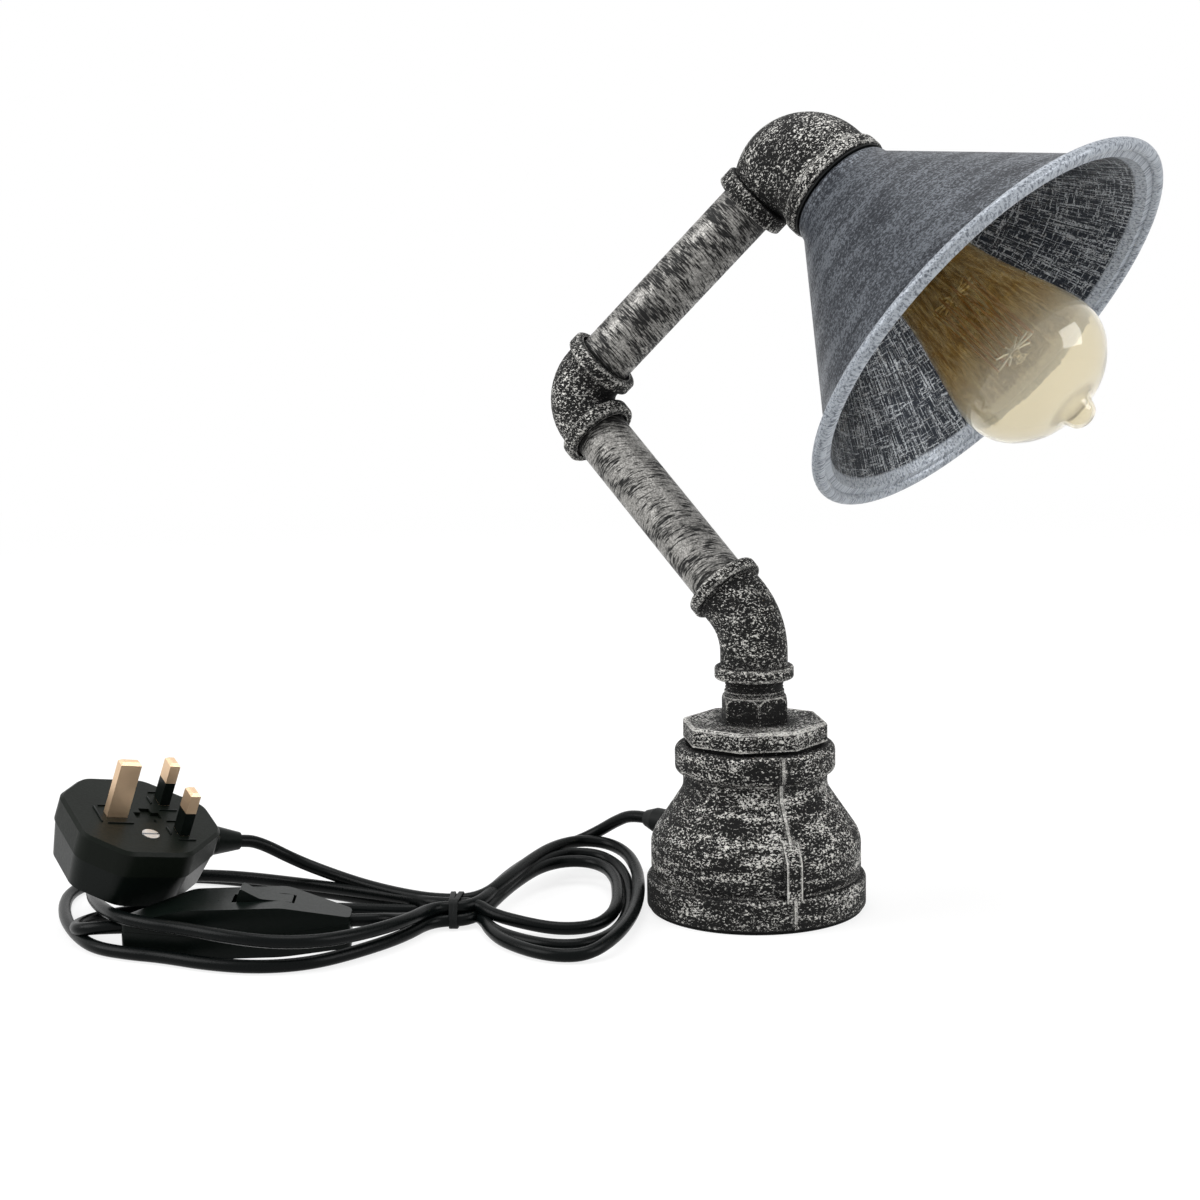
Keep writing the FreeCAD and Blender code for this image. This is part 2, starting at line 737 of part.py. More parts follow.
def bulb_supports():
    """Spokes that hold the zigzag at both ends, on a collar each, and the two lead wires."""
    bore = stem_rod_radius + collar_gap
    collars = []
    for reach, shift in ((cage_low, 0.0), (cage_high, 0.5)):
        collar = ring(bore, bore + collar_wall, reach - collar_half, reach + collar_half)
        for k in range(cage_runs if shift == 0.0 else cage_runs - 1):
            outward = cage_point(k + shift, 0.0).normalize()
            centre = Vector(0, 0, reach)
            spoke = wire_run(spoke_radius, centre + outward * (bore + collar_wall / 2),
                             centre + outward * (cage_radius - filament_radius - thread_gap))
            collar = collar.fuse(spoke)
        collars.append(collar)
    pinch = bulb_start + bulb_cap_length + lead_wire_start
    for k in (0, cage_runs - 1):
        outward = cage_point(k, 0.0).normalize()
        foot = Vector(0, 0, pinch) + outward * (stem_pinch_radius + lead_wire_radius + seat_gap)
        head = Vector(0, 0, cage_low) + outward * (cage_radius - filament_radius - 2 * spoke_radius)
        collars[0] = collars[0].fuse(wire_run(lead_wire_radius, foot, head))
    return Part.makeCompound(collars)


# ------------------------------------------------------------------ cord grip and wires
grip_way = Vector(math.cos(math.radians(grip_angle)), math.sin(math.radians(grip_angle)), 0)
grip_mouth = foot_body_radius + grip_reach
foot_inner_radius = foot_body_radius - foot_wall
grip_nut_seat = math.sqrt(foot_inner_radius ** 2 - grip_nut_radius ** 2)
wire_break_low = nipple_top
wire_break_middle = lower_arm_length - elbow_reach + socket_depth
wire_break_high = upper_arm_length - head_small_reach + socket_depth


def grip_placed(shape):
    return aimed(shape, Vector(0, 0, grip_height), grip_way)


def cord_grip():
    inner_end = grip_nut_seat - grip_nut_width - 2.0
    body = turned([
        (cord_radius + thread_gap, inner_end), (grip_shank_radius, inner_end),
        (grip_shank_radius, foot_body_radius + seat_gap), (grip_flange_radius, foot_body_radius + seat_gap),
        (grip_flange_radius, foot_body_radius + grip_flange_width),
        (grip_body_radius, foot_body_radius + grip_flange_width + 1.2),
        (grip_body_radius, grip_mouth - 5.0), (grip_nose_radius, grip_mouth),
        (cord_radius + thread_gap, grip_mouth),
    ])
    return grip_placed(body)


def grip_nut():
    """A thin lock nut on the flat cut for it in the wall."""
    corners = []
    for k in range(6):
        a = math.radians(60.0 * k)
        corners.append((grip_nut_radius * math.cos(a), grip_nut_radius * math.sin(a)))
    nut = prism(corners, grip_nut_seat - grip_nut_width, grip_nut_seat)
    return grip_placed(nut.cut(rod(grip_shank_radius + thread_gap, 0, foot_body_radius)))


def wire_base():
    corner = Vector(0, 0, grip_height)
    points = [corner + grip_way * grip_mouth, corner, Vector(0, 0, wire_break_low - joint_gap / 2)]
    return swept(points, 16.0, cord_radius)


def wire_lower():
    points = [
        Vector(0, 0, wire_break_low + joint_gap / 2), lower_corner,
        lower_corner + lower_way * (wire_break_middle - joint_gap / 2),
    ]
    return place_lower(swept(points, 20.0, cord_radius))


def wire_upper():
    points = [
        lower_corner + lower_way * (wire_break_middle + joint_gap / 2), middle_corner,
        middle_corner + upper_way * (wire_break_high - joint_gap / 2),
    ]
    return place_upper(swept(points, 10.5, cord_radius))


def wire_head():
    points = [
        middle_corner + upper_way * (wire_break_high + joint_gap / 2), head_corner,
        head_corner + head_way * (holder_cap_start - seat_gap),
    ]
    return place_upper(swept(points, 9.0, cord_radius))


# ------------------------------------------------------------------ switch, in its own frame, then placed
def switch_placed(shape):
    moved = shape.copy()
    moved.rotate(origin, z_axis, switch_turn)
    moved.translate(switch_centre)
    return moved


def switch_block(inset):
    """Long oval block with tapered ends, shrunk all round by an inset."""
    half, width, height = switch_length / 2 - inset, switch_width / 2 - inset, switch_height - inset
    end_width, end_height = switch_end_width / 2 - inset, switch_end_height - inset
    waist = switch_length * 0.21
    plan = prism([
        (-half, -end_width), (-waist, -width), (waist, -width), (half, -end_width),
        (half, end_width), (waist, width), (-waist, width), (-half, end_width),
    ], inset, switch_height, [3.0, 22.0, 22.0, 3.0, 3.0, 22.0, 22.0, 3.0])
    side_points = [
        Vector(-half - 1, -width - 1, inset), Vector(half + 1, -width - 1, inset),
        Vector(half + 1, -width - 1, end_height), Vector(waist, -width - 1, height),
        Vector(-waist, -width - 1, height), Vector(-half - 1, -width - 1, end_height),
    ]
    side = Part.Face(rounded_wire(side_points, [0, 0, 1.0, 20.0, 20.0, 1.0], closed=True))
    return plan.common(side.extrude(Vector(0, 2 * width + 2, 0)))


def half_space(low, high):
    return Part.makeBox(2 * switch_length, 2 * switch_width, high - low,
                        Vector(-switch_length, -switch_width, low))


rocker_pin_height = switch_height - rocker_pin_drop


def cord_ports(gap):
    return rod(cord_radius + gap, -switch_length, switch_length)


def switch_lower():
    shell = switch_block(0.0).cut(switch_block(switch_wall))
    shell = shell.common(half_space(-1, switch_split - seat_gap / 2))
    port = aimed(cord_ports(thread_gap), Vector(0, 0, switch_split), x_axis)
    return switch_placed(shell.cut(port))


def switch_upper():
    shell = switch_block(0.0).cut(switch_block(switch_wall))
    shell = shell.common(half_space(switch_split + seat_gap / 2, switch_height + 1))
    port = aimed(cord_ports(thread_gap), Vector(0, 0, switch_split), x_axis)
    slot_length = rocker_length + 2.4
    slot_width = rocker_width + 2 * joint_gap
    slot = Part.makeBox(slot_length, slot_width, switch_height,
                        Vector(rocker_offset - slot_length / 2, -slot_width / 2, switch_split))
    ears = []
    for side in (-1, 1):
        y = side * (slot_width / 2 + 1.0) - 1.0
        ears.append(Part.makeBox(6, 2.0, 7.0, Vector(rocker_offset - 3, y, switch_height - 8.5)))
    frame = fused(shell.cut(slot).cut(port), *[e.common(switch_block(0.0)) for e in ears])
    pin_hole = aimed(rod(rocker_pin_radius + thread_gap, -12, 12),
                     Vector(rocker_offset, 0, rocker_pin_height), y_axis)
    return switch_placed(frame.cut(pin_hole))


def switch_pin():
    half = rocker_width / 2 + joint_gap + 2.0
    return switch_placed(aimed(rod(rocker_pin_radius, -half, half),
                               Vector(rocker_offset, 0, rocker_pin_height), y_axis))


def switch_rocker():
    """A shallow V lever that stands proud at one end."""
    half = rocker_length / 2
    top = switch_height
    side = [
        Vector(-half, 0, top - 1.0), Vector(-half + 1.0, 0, top + 3.4), Vector(-1.5, 0, top + 0.6),
        Vector(half, 0, top + 0.9), Vector(half, 0, top - 1.4), Vector(4.5, 0, top - 4.6),
        Vector(-4.5, 0, top - 4.6),
    ]
    face = Part.Face(rounded_wire(side, [0.5, 0.8, 6.0, 0.8, 0.8, 3.0, 3.0], closed=True))
    lever = face.extrude(Vector(0, rocker_width, 0))
    lever.translate(Vector(rocker_offset, -rocker_width / 2, 0))
    hole = aimed(rod(rocker_pin_radius + running_gap, -12, 12),
                 Vector(rocker_offset, 0, rocker_pin_height), y_axis)
    lever = lever.cut(hole)
    lever.rotate(Vector(rocker_offset, 0, rocker_pin_height), y_axis, rocker_tilt)
    return switch_placed(lever)


def switch_inner_cord():
    half = switch_length / 2
    tube = rod(cord_radius, -half, half)
    return switch_placed(aimed(tube, Vector(0, 0, switch_split), x_axis))


# ------------------------------------------------------------------ plug, face up in its own frame, then placed
def plug_rotation():
    way = math.radians(plug_tilt_way)
    tilt_axis = Vector(-math.sin(way), math.cos(way), 0)
    return Rotation(tilt_axis, plug_tilt).multiply(Rotation(z_axis, plug_heading))


def plug_placed(shape):
    moved = shape.copy()
    moved.Placement = Placement(plug_centre, plug_rotation()).multiply(moved.Placement)
    return moved


def plug_outline(inset):
    """Square with large corners at the earth end and a long taper to the cord end."""
    back, front, side = -plug_length / 2 + inset, plug_length / 2 - inset, plug_width / 2 - inset
    c = plug_corner
    return [
        (back, -side + c), (back + c, -side), (front - c * 1.5, -side), (front, -side + c * 1.4),
        (front, side - c * 1.4), (front - c * 1.5, side), (back + c, side), (back, side - c),
    ]


def plug_base():
    low = -plug_base_height
    plate = prism(plug_outline(0.0), low, 0.0, plug_round)
    edges = [e for e in plate.Edges if all(abs(v.Z) < 1e-6 for v in e.Vertexes)]
    plate = plate.makeChamfer(1.2, edges)
    plate = plate.cut(prism(plug_outline(plug_wall), low - 1, -3.0, plug_inner_round))
    for x, y, size in pin_places():
        root = Part.makeBox(size[0] + 3, size[1] + 3, plug_base_height - 3.0,
                            Vector(x - size[0] / 2 - 1.5, y - size[1] / 2 - 1.5, low + seat_gap))
        hole = Part.makeBox(size[0] + 2 * thread_gap, size[1] + 2 * thread_gap, 60,
                            Vector(x - size[0] / 2 - thread_gap, y - size[1] / 2 - thread_gap, -30))
        plate = plate.fuse(root).cut(hole)
    for x, y in plug_screw_places:
        plate = plate.cut(rod(plug_screw_radius + seat_gap, -1.6, 1.0).translated(Vector(x, y, 0)))
    for size_x, size_y in ((10.0, 4.2), (4.2, 10.0)):
        plate = plate.cut(Part.makeBox(size_x, size_y, 2.0, Vector(1.5 - size_x / 2, -size_y / 2, -1.2)))
    port = aimed(rod(boot_radius - 1.0 + thread_gap, plug_length / 2 - 10, plug_length),
                 Vector(0, 0, boot_height), x_axis)
    return plug_placed(plate.cut(port))


boot_height = -plug_base_height
plug_screw_places = [(-2.0, -13.5), (20.5, 7.0)]


def pin_places():
    return [
        (-pin_row / 2, 0.0, earth_pin_size),
        (pin_row / 2, -pin_row / 2, live_pin_size),
        (pin_row / 2, pin_row / 2, live_pin_size),
    ]


def plug_cover():
    top = -plug_base_height - seat_gap
    low = top - plug_cover_height
    outer = Part.makeLoft([
        rounded_wire([Vector(x, y, top) for x, y in plug_outline(0.3)], plug_round, closed=True),
        rounded_wire([Vector(x, y, low) for x, y in plug_outline(plug_cover_inset)], plug_round, closed=True),
    ], True)
    inner = Part.makeLoft([
        rounded_wire([Vector(x, y, top + 0.01) for x, y in plug_outline(plug_wall)],
                     plug_inner_round, closed=True),
        rounded_wire([Vector(x, y, low + plug_wall) for x, y in plug_outline(plug_cover_inset + plug_wall)],
                     plug_inner_round, closed=True),
    ], True)
    port = aimed(rod(boot_radius - 1.0 + thread_gap, plug_length / 2 - 10, plug_length),
                 Vector(0, 0, boot_height), x_axis)
    return plug_placed(outer.cut(inner).cut(port))


def flat_pin(size, root, necked=0.0):
    """A rectangular pin with a chamfered tip, thinner where a sleeve goes round it."""
    x, y, length = size
    body = Part.makeBox(x, y, length + root, Vector(-x / 2, -y / 2, -root))
    tip = [e for e in body.Edges if all(abs(v.Z - length) < 1e-6 for v in e.Vertexes)]
    body = body.makeChamfer(pin_chamfer, tip)
    if necked:
        wall = sleeve_wall
        keep = Part.makeBox(x - 2 * wall, y - 2 * wall, necked, Vector(-x / 2 + wall, -y / 2 + wall, 0))
        band = Part.makeBox(x + 1, y + 1, necked, Vector(-x / 2 - 0.5, -y / 2 - 0.5, 0)).cut(keep)
        body = body.cut(band)
    return body


def plug_pin(index):
    x, y, size = pin_places()[index]
    pin = flat_pin(size, pin_root, 0.0 if index == 0 else sleeve_length)
    return plug_placed(pin.translated(Vector(x, y, 0)))


def pin_sleeves():
    sleeves = []
    for x, y, size in pin_places()[1:]:
        outer = Part.makeBox(size[0], size[1], sleeve_length - 2 * thread_gap,
                             Vector(-size[0] / 2, -size[1] / 2, thread_gap))
        wall = sleeve_wall - thread_gap
        inner = Part.makeBox(size[0] - 2 * wall, size[1] - 2 * wall, 40,
                             Vector(-size[0] / 2 + wall, -size[1] / 2 + wall, -20))
        sleeves.append(plug_placed(outer.cut(inner).translated(Vector(x, y, 0))))
    return Part.makeCompound(sleeves)


def plug_screws():
    screws = []
    for x, y in plug_screw_places:
        head = rod(plug_screw_radius, -1.5, 0.2).cut(
            Part.makeBox(8, 0.9, 2, Vector(-4, -0.45, -0.6)))
        screws.append(plug_placed(head.translated(Vector(x, y, 0))))
    return Part.makeCompound(screws)


def plug_fuse():
    y_half = fuse_length / 2
    fuse = aimed(rod(fuse_radius, -y_half, y_half),
                 Vector(0.5, 0, -plug_base_height - fuse_radius), y_axis)
    return plug_placed(fuse)


def fuse_clips():
    """Two bent clips that hold the fuse off the cover's floor."""
    floor = -plug_base_height - plug_cover_height + plug_wall - seat_gap
    clips = []
    for side in (-1, 1):
        y = side * (fuse_length / 2 - 4.0) - 2.5
        foot = Part.makeBox(8.0, 5.0, 1.0, Vector(-3.5, y, floor + seat_gap))
        arms = [
            Part.makeBox(1.0, 5.0, -plug_base_height - 2 * fuse_radius - floor + 4.0,
                         Vector(0.5 + s * (fuse_radius + 0.6) - 0.5, y, floor + seat_gap)) for s in (-1, 1)
        ]
        clips.append(plug_placed(fused(foot, *arms)))
    return Part.makeCompound(clips)


def plug_boot():
    start = plug_length / 2 - 8.0
    end = plug_length / 2 + boot_length
    face = plug_length / 2 + seat_gap
    body = turned([
        (cord_radius + thread_gap, start), (boot_radius - 1.0, start), (boot_radius - 1.0, face),
        (boot_radius, face), (boot_radius, face + 2.5),
        (boot_nose_radius, end), (cord_radius + thread_gap, end),
    ])
    return plug_placed(aimed(body, Vector(0, 0, boot_height), x_axis))


# ------------------------------------------------------------------ free lead
def hank_solid():
    """Outer shape of the wound lead: a tied waist between a low left loop and a higher right loop."""
    right = prism(hank_right_outline, 0.0, hank_height, hank_outer_round)
    right = right.cut(prism(hank_right_hole, -1, hank_height + 1, hank_inner_round))
    left = prism(hank_left_outline, 0.0, hank_low_height, hank_outer_round)
    left = left.cut(prism(hank_left_hole, -1, hank_height + 1, hank_inner_round))
    body = fused(right, left)
    return body.cut(tie_block(0.05))


def tie_block(grow):
    """The space that the tie fills round the waist."""
    half = tie_bundle_width / 2
    outer = prism([(-tie_width / 2, -half - tie_thickness), (tie_width / 2, -half - tie_thickness),
                   (tie_width / 2, half + tie_thickness), (-tie_width / 2, half + tie_thickness)],
                  0.0, hank_height + tie_thickness)
    inner = prism([(-tie_width, -half), (tie_width, -half), (tie_width, half), (-tie_width, half)],
                  tie_thickness, hank_height)
    band = outer.cut(inner)
    if grow:
        spare = Part.makeBox(tie_width + 2 * grow, tie_bundle_width + 2 * tie_thickness + 2 * grow,
                             tie_thickness + grow,
                             Vector(-tie_width / 2 - grow, -half - tie_thickness - grow, -0.01))
        sides = [Part.makeBox(tie_width + 2 * grow, tie_thickness + 12, hank_height + 3,
                              Vector(-tie_width / 2 - grow, y, -0.01))
                 for y in (-half - tie_thickness - 12 + grow, half - grow)]
        band = fused(spare, *sides)
    return band.translated(tie_centre)


def hank_tie():
    return tie_block(0.0)


lead_points = [
    Vector(0, 0, grip_height) + grip_way * grip_mouth,
    Vector(0, 0, grip_height) + grip_way * (grip_mouth + 8.5),
    Vector(-56.0, 47.0, 20.3),
    Vector(-63.2, 52.5, 14.8),
    Vector(-71.6, 55.9, 9.6),
    Vector(-80.5, 54.9, 5.3),
    Vector(-88.1, 48.8, 3.1),
    Vector(-92.2, 39.9, 2.6),
    Vector(-92.0, 30.3, 2.6),
]


def free_cord(name, points):
    """Tube along straight runs and the largest tangent arcs that fit, with its radii printed."""
    radii = [0.0]
    for before, here, after in zip(points, points[1:], points[2:]):
        shorter = min(here.distanceToPoint(before), here.distanceToPoint(after))
        turn = (here - before).getAngle(after - here)
        radii.append(0.45 * shorter / math.tan(turn / 2))
    radii.append(0.0)
    path = rounded_wire(points, radii)
    solid = swept(points, radii, cord_radius)
    expected = math.pi * cord_radius ** 2 * path.Length
    print("%s: length %.1f, bend radii %s, volume ratio %.4f" % (
        name, path.Length, [round(r, 1) for r in radii[1:-1]], solid.Volume / expected))
    return solid


def plug_cord_points():
    rotation = plug_rotation()
    way = rotation.multVec(x_axis)
    mouth = plug_centre + rotation.multVec(Vector(plug_length / 2 + boot_length, 0, boot_height))
    return [mouth - way * 10.0, mouth + way * 8.0] + plug_cord_route


plug_cord_route = [Vector(-178.0, 12.0, 13.0), Vector(-163.0, 13.5, 6.5), Vector(-149.0, 9.0, 3.4),
                   Vector(-137.5, 0.5, 2.6)]


def switch_end(side):
    way = turned_vector(x_axis, z_axis, switch_turn) * side
    return switch_centre + way * (switch_length / 2) + Vector(0, 0, switch_split), way


def switch_cord_points(side):
    start, way = switch_end(side)
    return [start, start + way * 10.0, switch_cord_end[side]]


switch_cord_end = {-1: Vector(-250.0, -52.0, 4.6), 1: Vector(-126.5, -45.0, 4.6)}


# ------------------------------------------------------------------ build
def build():
    os.makedirs("parts", exist_ok=True)

    save("base_fitting", foot_casting())
    save("base_pad", foot_pad())
    save("base_bush", octagon_bush())
    save("base_nipple", hex_nipple())
    save("lead_grip", cord_grip())
    save("grip_nut", grip_nut())
    save("wire_base", wire_base())

    save("lower_elbow", place_lower(banded_elbow(
        lower_corner, z_axis, lower_way, obtuse_bend_radius, obtuse_reach, obtuse_band_width,
        (nipple_thread_radius + running_gap, pipe_radius + thread_gap))))
    save("lower_pipe", place_lower(pipe_between(
        lower_corner + lower_way * (obtuse_reach - socket_depth),
        middle_corner - lower_way * (elbow_reach - socket_depth))))
    save("wire_lower", wire_lower())

    save("middle_elbow", place_upper(banded_elbow(
        middle_corner, lower_way, upper_way, elbow_bend_radius, elbow_reach, elbow_band_width,
        (pipe_radius + running_gap, pipe_radius + thread_gap))))
    save("upper_pipe", place_upper(pipe_between(
        middle_corner + upper_way * (elbow_reach - socket_depth),
        head_corner - upper_way * (head_small_reach - socket_depth))))
    save("wire_upper", wire_upper())

    save("top_elbow", place_upper(reducing_elbow()))
    save("wire_head", wire_head())
    for name, maker in (
        ("shade_washer", shade_washer), ("shade", shade_shell), ("shade_ring", shade_ring),
        ("holder_cap", holder_cap), ("holder_body", holder_body), ("holder_shell", holder_shell),
        ("holder_contact", holder_contact), ("bulb_glass", bulb_glass), ("bulb_cap", bulb_cap),
        ("bulb_insulator", bulb_insulator), ("bulb_tip", bulb_tip), ("bulb_stem", bulb_stem),
        ("bulb_filament", bulb_filament), ("bulb_supports", bulb_supports),
    ):
        save(name, place_head(maker()))

    save("switch_lower", switch_lower())
    save("switch_upper", switch_upper())
    save("switch_pin", switch_pin())
    save("switch_rocker", switch_rocker())
    save("wire_switch", switch_inner_cord())

    save("plug_base", plug_base())
    save("plug_cover", plug_cover())
    save("plug_boot", plug_boot())
    save("earth_pin", plug_pin(0))
    save("line_pin", plug_pin(1))
    save("neutral_pin", plug_pin(2))
    save("pin_sleeves", pin_sleeves())
    save("plug_screws", plug_screws())
    save("plug_fuse", plug_fuse())
    save("fuse_clips", fuse_clips())

    save("lead_hank", hank_solid())
    save("hank_tie", hank_tie())
    save("lead_cord", free_cord("lead_cord", lead_points))
    save("plug_cord", free_cord("plug_cord", plug_cord_points()))
    save("switch_cord_left", free_cord("switch_cord_left", switch_cord_points(-1)))
    save("switch_cord_right", free_cord("switch_cord_right", switch_cord_points(1)))


build()
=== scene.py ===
import json
import math

import bmesh
import bpy
from mathutils import Matrix, Vector


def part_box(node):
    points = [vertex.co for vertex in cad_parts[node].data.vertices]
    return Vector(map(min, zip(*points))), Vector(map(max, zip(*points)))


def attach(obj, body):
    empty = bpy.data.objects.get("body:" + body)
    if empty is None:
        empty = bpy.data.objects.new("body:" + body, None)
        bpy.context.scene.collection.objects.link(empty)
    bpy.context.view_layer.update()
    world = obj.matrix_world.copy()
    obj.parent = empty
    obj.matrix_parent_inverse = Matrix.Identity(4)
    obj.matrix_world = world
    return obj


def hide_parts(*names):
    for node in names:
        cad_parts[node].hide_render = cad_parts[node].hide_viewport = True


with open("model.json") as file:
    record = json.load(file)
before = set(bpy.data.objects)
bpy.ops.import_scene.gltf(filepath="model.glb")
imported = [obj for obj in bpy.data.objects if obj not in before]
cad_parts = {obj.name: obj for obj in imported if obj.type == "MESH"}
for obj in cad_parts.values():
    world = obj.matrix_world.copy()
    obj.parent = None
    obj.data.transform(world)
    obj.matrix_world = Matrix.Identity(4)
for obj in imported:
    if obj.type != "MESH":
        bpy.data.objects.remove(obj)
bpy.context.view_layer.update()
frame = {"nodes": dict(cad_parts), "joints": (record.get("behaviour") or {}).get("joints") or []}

cadNodes = frame["nodes"]
joints = {joint["name"]: joint for joint in frame["joints"]}
print("lamp loaded,", len(cadNodes), "nodes")

# metres, degrees, and millimetres for the lens and the sensor
view = {
    "place": (0.0002, -0.8117, 0.2396),
    "yaw": 4.047,           # towards -X
    "pitch": 8.545,         # downwards
    "roll": 1.154,          # clockwise, seen from behind
    "lens": 66.0,
    "sensor": 36.0,
    "nearest": 0.01,
}


def linkObject(name, data):
    item = bpy.data.objects.new(name, data)
    bpy.context.scene.collection.objects.link(item)
    return item


def setCamera():
    data = bpy.data.cameras.new("camera")
    data.lens = view["lens"]
    data.sensor_width = view["sensor"]
    data.clip_start = view["nearest"]
    turn = Matrix.Rotation(math.radians(view["yaw"]), 4, "Z")
    tip = Matrix.Rotation(math.radians(90.0 - view["pitch"]), 4, "X")
    lean = Matrix.Rotation(math.radians(-view["roll"]), 4, "Z")
    camera = linkObject("camera", data)
    camera.matrix_world = Matrix.Translation(view["place"]) @ turn @ tip @ lean
    bpy.context.scene.camera = camera


# a value is linked if another node gives it, and set if it is plain
def feed(tree, socket, value):
    if isinstance(value, bpy.types.NodeSocket):
        tree.links.new(value, socket)
    else:
        socket.default_value = value


def addNode(tree, kind, inputs=None, **settings):
    node = tree.nodes.new(kind)
    for name, value in settings.items():
        setattr(node, name, value)
    for name, value in (inputs or {}).items():
        feed(tree, node.inputs[name], value)
    return node


def calc(tree, operation, first, second, clamp=False):
    inputs = {0: first, 1: second}
    return addNode(tree, "ShaderNodeMath", inputs, operation=operation, use_clamp=clamp).outputs[0]


# 1 for what the camera, a mirror or a glass looks at, 0 for the light that surfaces gather
def seenDirectly(tree):
    path = addNode(tree, "ShaderNodeLightPath")
    mirrored = calc(tree, "MAXIMUM", path.outputs["Is Camera Ray"], path.outputs["Is Glossy Ray"])
    return calc(tree, "MAXIMUM", mirrored, path.outputs["Is Transmission Ray"])


studio = {
    "floorRadius": 9.0,
    "floorSides": 96,
    "floorTone": (0.80, 0.80, 0.79, 1),     # what lights the lamp from below
    "floorShown": (0.24, 0.24, 0.24, 1),    # the light that falls on it and its glow make white
    "floorGlow": 0.80,
    "fadeStart": 0.55,                      # plain white takes over from here outwards
    "fadeEnd": 1.6,
    "ambient": 0.42,
    "aim": (0.0, 0.0, 0.14),
    # name, place, size and watts
    "lamps": [
        ("leftSoftbox", (-1.30, -0.35, 0.85), 0.9, 13.0),
        ("rightSoftbox", (1.25, -0.45, 0.75), 0.8, 10.0),
        ("topSoftbox", (-0.10, 0.20, 1.65), 1.1, 15.0),
    ],
}


def floorMaterial():
    material = bpy.data.materials.new("paleFloor")
    material.use_nodes = True
    tree = material.node_tree
    tree.nodes.clear()
    gathered = addNode(tree, "ShaderNodeBsdfDiffuse", {"Color": studio["floorTone"]})
    shown = addNode(tree, "ShaderNodeBsdfDiffuse", {"Color": studio["floorShown"]})
    glow = addNode(tree, "ShaderNodeEmission", {"Strength": studio["floorGlow"]})
    white = addNode(tree, "ShaderNodeEmission", {"Strength": 1.0})
    near = addNode(tree, "ShaderNodeAddShader", {0: shown.outputs[0], 1: glow.outputs[0]})
    place = addNode(tree, "ShaderNodeTexCoord").outputs["Object"]
    reach = addNode(tree, "ShaderNodeVectorMath", {0: place}, operation="LENGTH").outputs["Value"]
    fade = addNode(tree, "ShaderNodeMapRange", {
        "Value": reach, "From Min": studio["fadeStart"], "From Max": studio["fadeEnd"],
    }, interpolation_type="SMOOTHSTEP")
    lit = addNode(tree, "ShaderNodeMixShader", {
        0: fade.outputs[0], 1: near.outputs[0], 2: white.outputs[0]})
    both = addNode(tree, "ShaderNodeMixShader", {
        0: seenDirectly(tree), 1: gathered.outputs[0], 2: lit.outputs[0]})
    addNode(tree, "ShaderNodeOutputMaterial", {"Surface": both.outputs[0]})
    return material


def makeFloor():
    mesh = bmesh.new()
    bmesh.ops.create_circle(
        mesh, cap_ends=True, segments=studio["floorSides"], radius=studio["floorRadius"])
    data = bpy.data.meshes.new("floor")
    mesh.to_mesh(data)
    mesh.free()
    data.materials.append(floorMaterial())
    linkObject("floor", data)


def lightRoom():
    world = bpy.data.worlds.new("softRoom")
    bpy.context.scene.world = world
    world.use_nodes = True
    tree = world.node_tree
    strength = addNode(tree, "ShaderNodeMapRange", {
        "Value": seenDirectly(tree), "To Min": studio["ambient"], "To Max": 1.0})
    background = tree.nodes["Background"]
    background.inputs["Color"].default_value = (1, 1, 1, 1)
    tree.links.new(strength.outputs[0], background.inputs["Strength"])
    for name, place, size, watts in studio["lamps"]:
        lamp = bpy.data.lights.new(name, "AREA")
        lamp.size = size
        lamp.energy = watts
        holder = linkObject(name, lamp)
        holder.location = place
        way = Vector(studio["aim"]) - Vector(place)
        holder.rotation_euler = way.to_track_quat("-Z", "Y").to_euler()
    bpy.context.scene.view_settings.view_transform = "Standard"


setCamera()
makeFloor()
lightRoom()
print("camera, floor and light set")


# inputs are name, socket kind and value, outputs name and kind
def newGroup(name, inputs, outputs):
    tree = bpy.data.node_groups.new(name, "ShaderNodeTree")
    for label, kind, value in inputs:
        socket = tree.interface.new_socket(name=label, in_out="INPUT", socket_type=kind)
        if value is not None:
            socket.default_value = value
    for label, kind in outputs:
        tree.interface.new_socket(name=label, in_out="OUTPUT", socket_type=kind)
    return tree, tree.nodes.new("NodeGroupInput"), tree.nodes.new("NodeGroupOutput")


grainForm = {
    "detail": 2.5,
    "roughness": 0.6,
    "distortion": 0.7,
    "bareEdge": 0.75,       # grain height where the silver starts with no cover
    "coverDrop": 0.5,       # and how far that falls with full cover
}


# silver that a dry brush leaves on the high grain: a mask and the grain's own height
def buildBrushedGrain():
    tree, given, result = newGroup(
        "brushedGrain",
        [("Vector", "NodeSocketVector", None), ("Grain", "NodeSocketFloat", 700.0),
         ("Cover", "NodeSocketFloat", 0.5), ("Soft", "NodeSocketFloat", 0.08)],
        [("Mask", "NodeSocketFloat"), ("Height", "NodeSocketFloat")])
    grain = addNode(tree, "ShaderNodeTexNoise", {
        "Vector": given.outputs["Vector"], "Scale": given.outputs["Grain"],
        "Detail": grainForm["detail"], "Roughness": grainForm["roughness"],
        "Distortion": grainForm["distortion"]}).outputs["Fac"]
    drop = calc(tree, "MULTIPLY", given.outputs["Cover"], grainForm["coverDrop"])
    edge = calc(tree, "SUBTRACT", grainForm["bareEdge"], drop)
    mask = addNode(tree, "ShaderNodeMapRange", {
        "Value": grain,
        "From Min": calc(tree, "SUBTRACT", edge, given.outputs["Soft"]),
        "From Max": calc(tree, "ADD", edge, given.outputs["Soft"]),
    }, interpolation_type="SMOOTHSTEP")
    tree.links.new(mask.outputs[0], result.inputs["Mask"])
    tree.links.new(grain, result.inputs["Height"])
    return tree


wearAndShadeForm = {
    "samples": 6,
    "cornerShadeReach": 0.006,
    "cornerShadePower": 1.6,
}
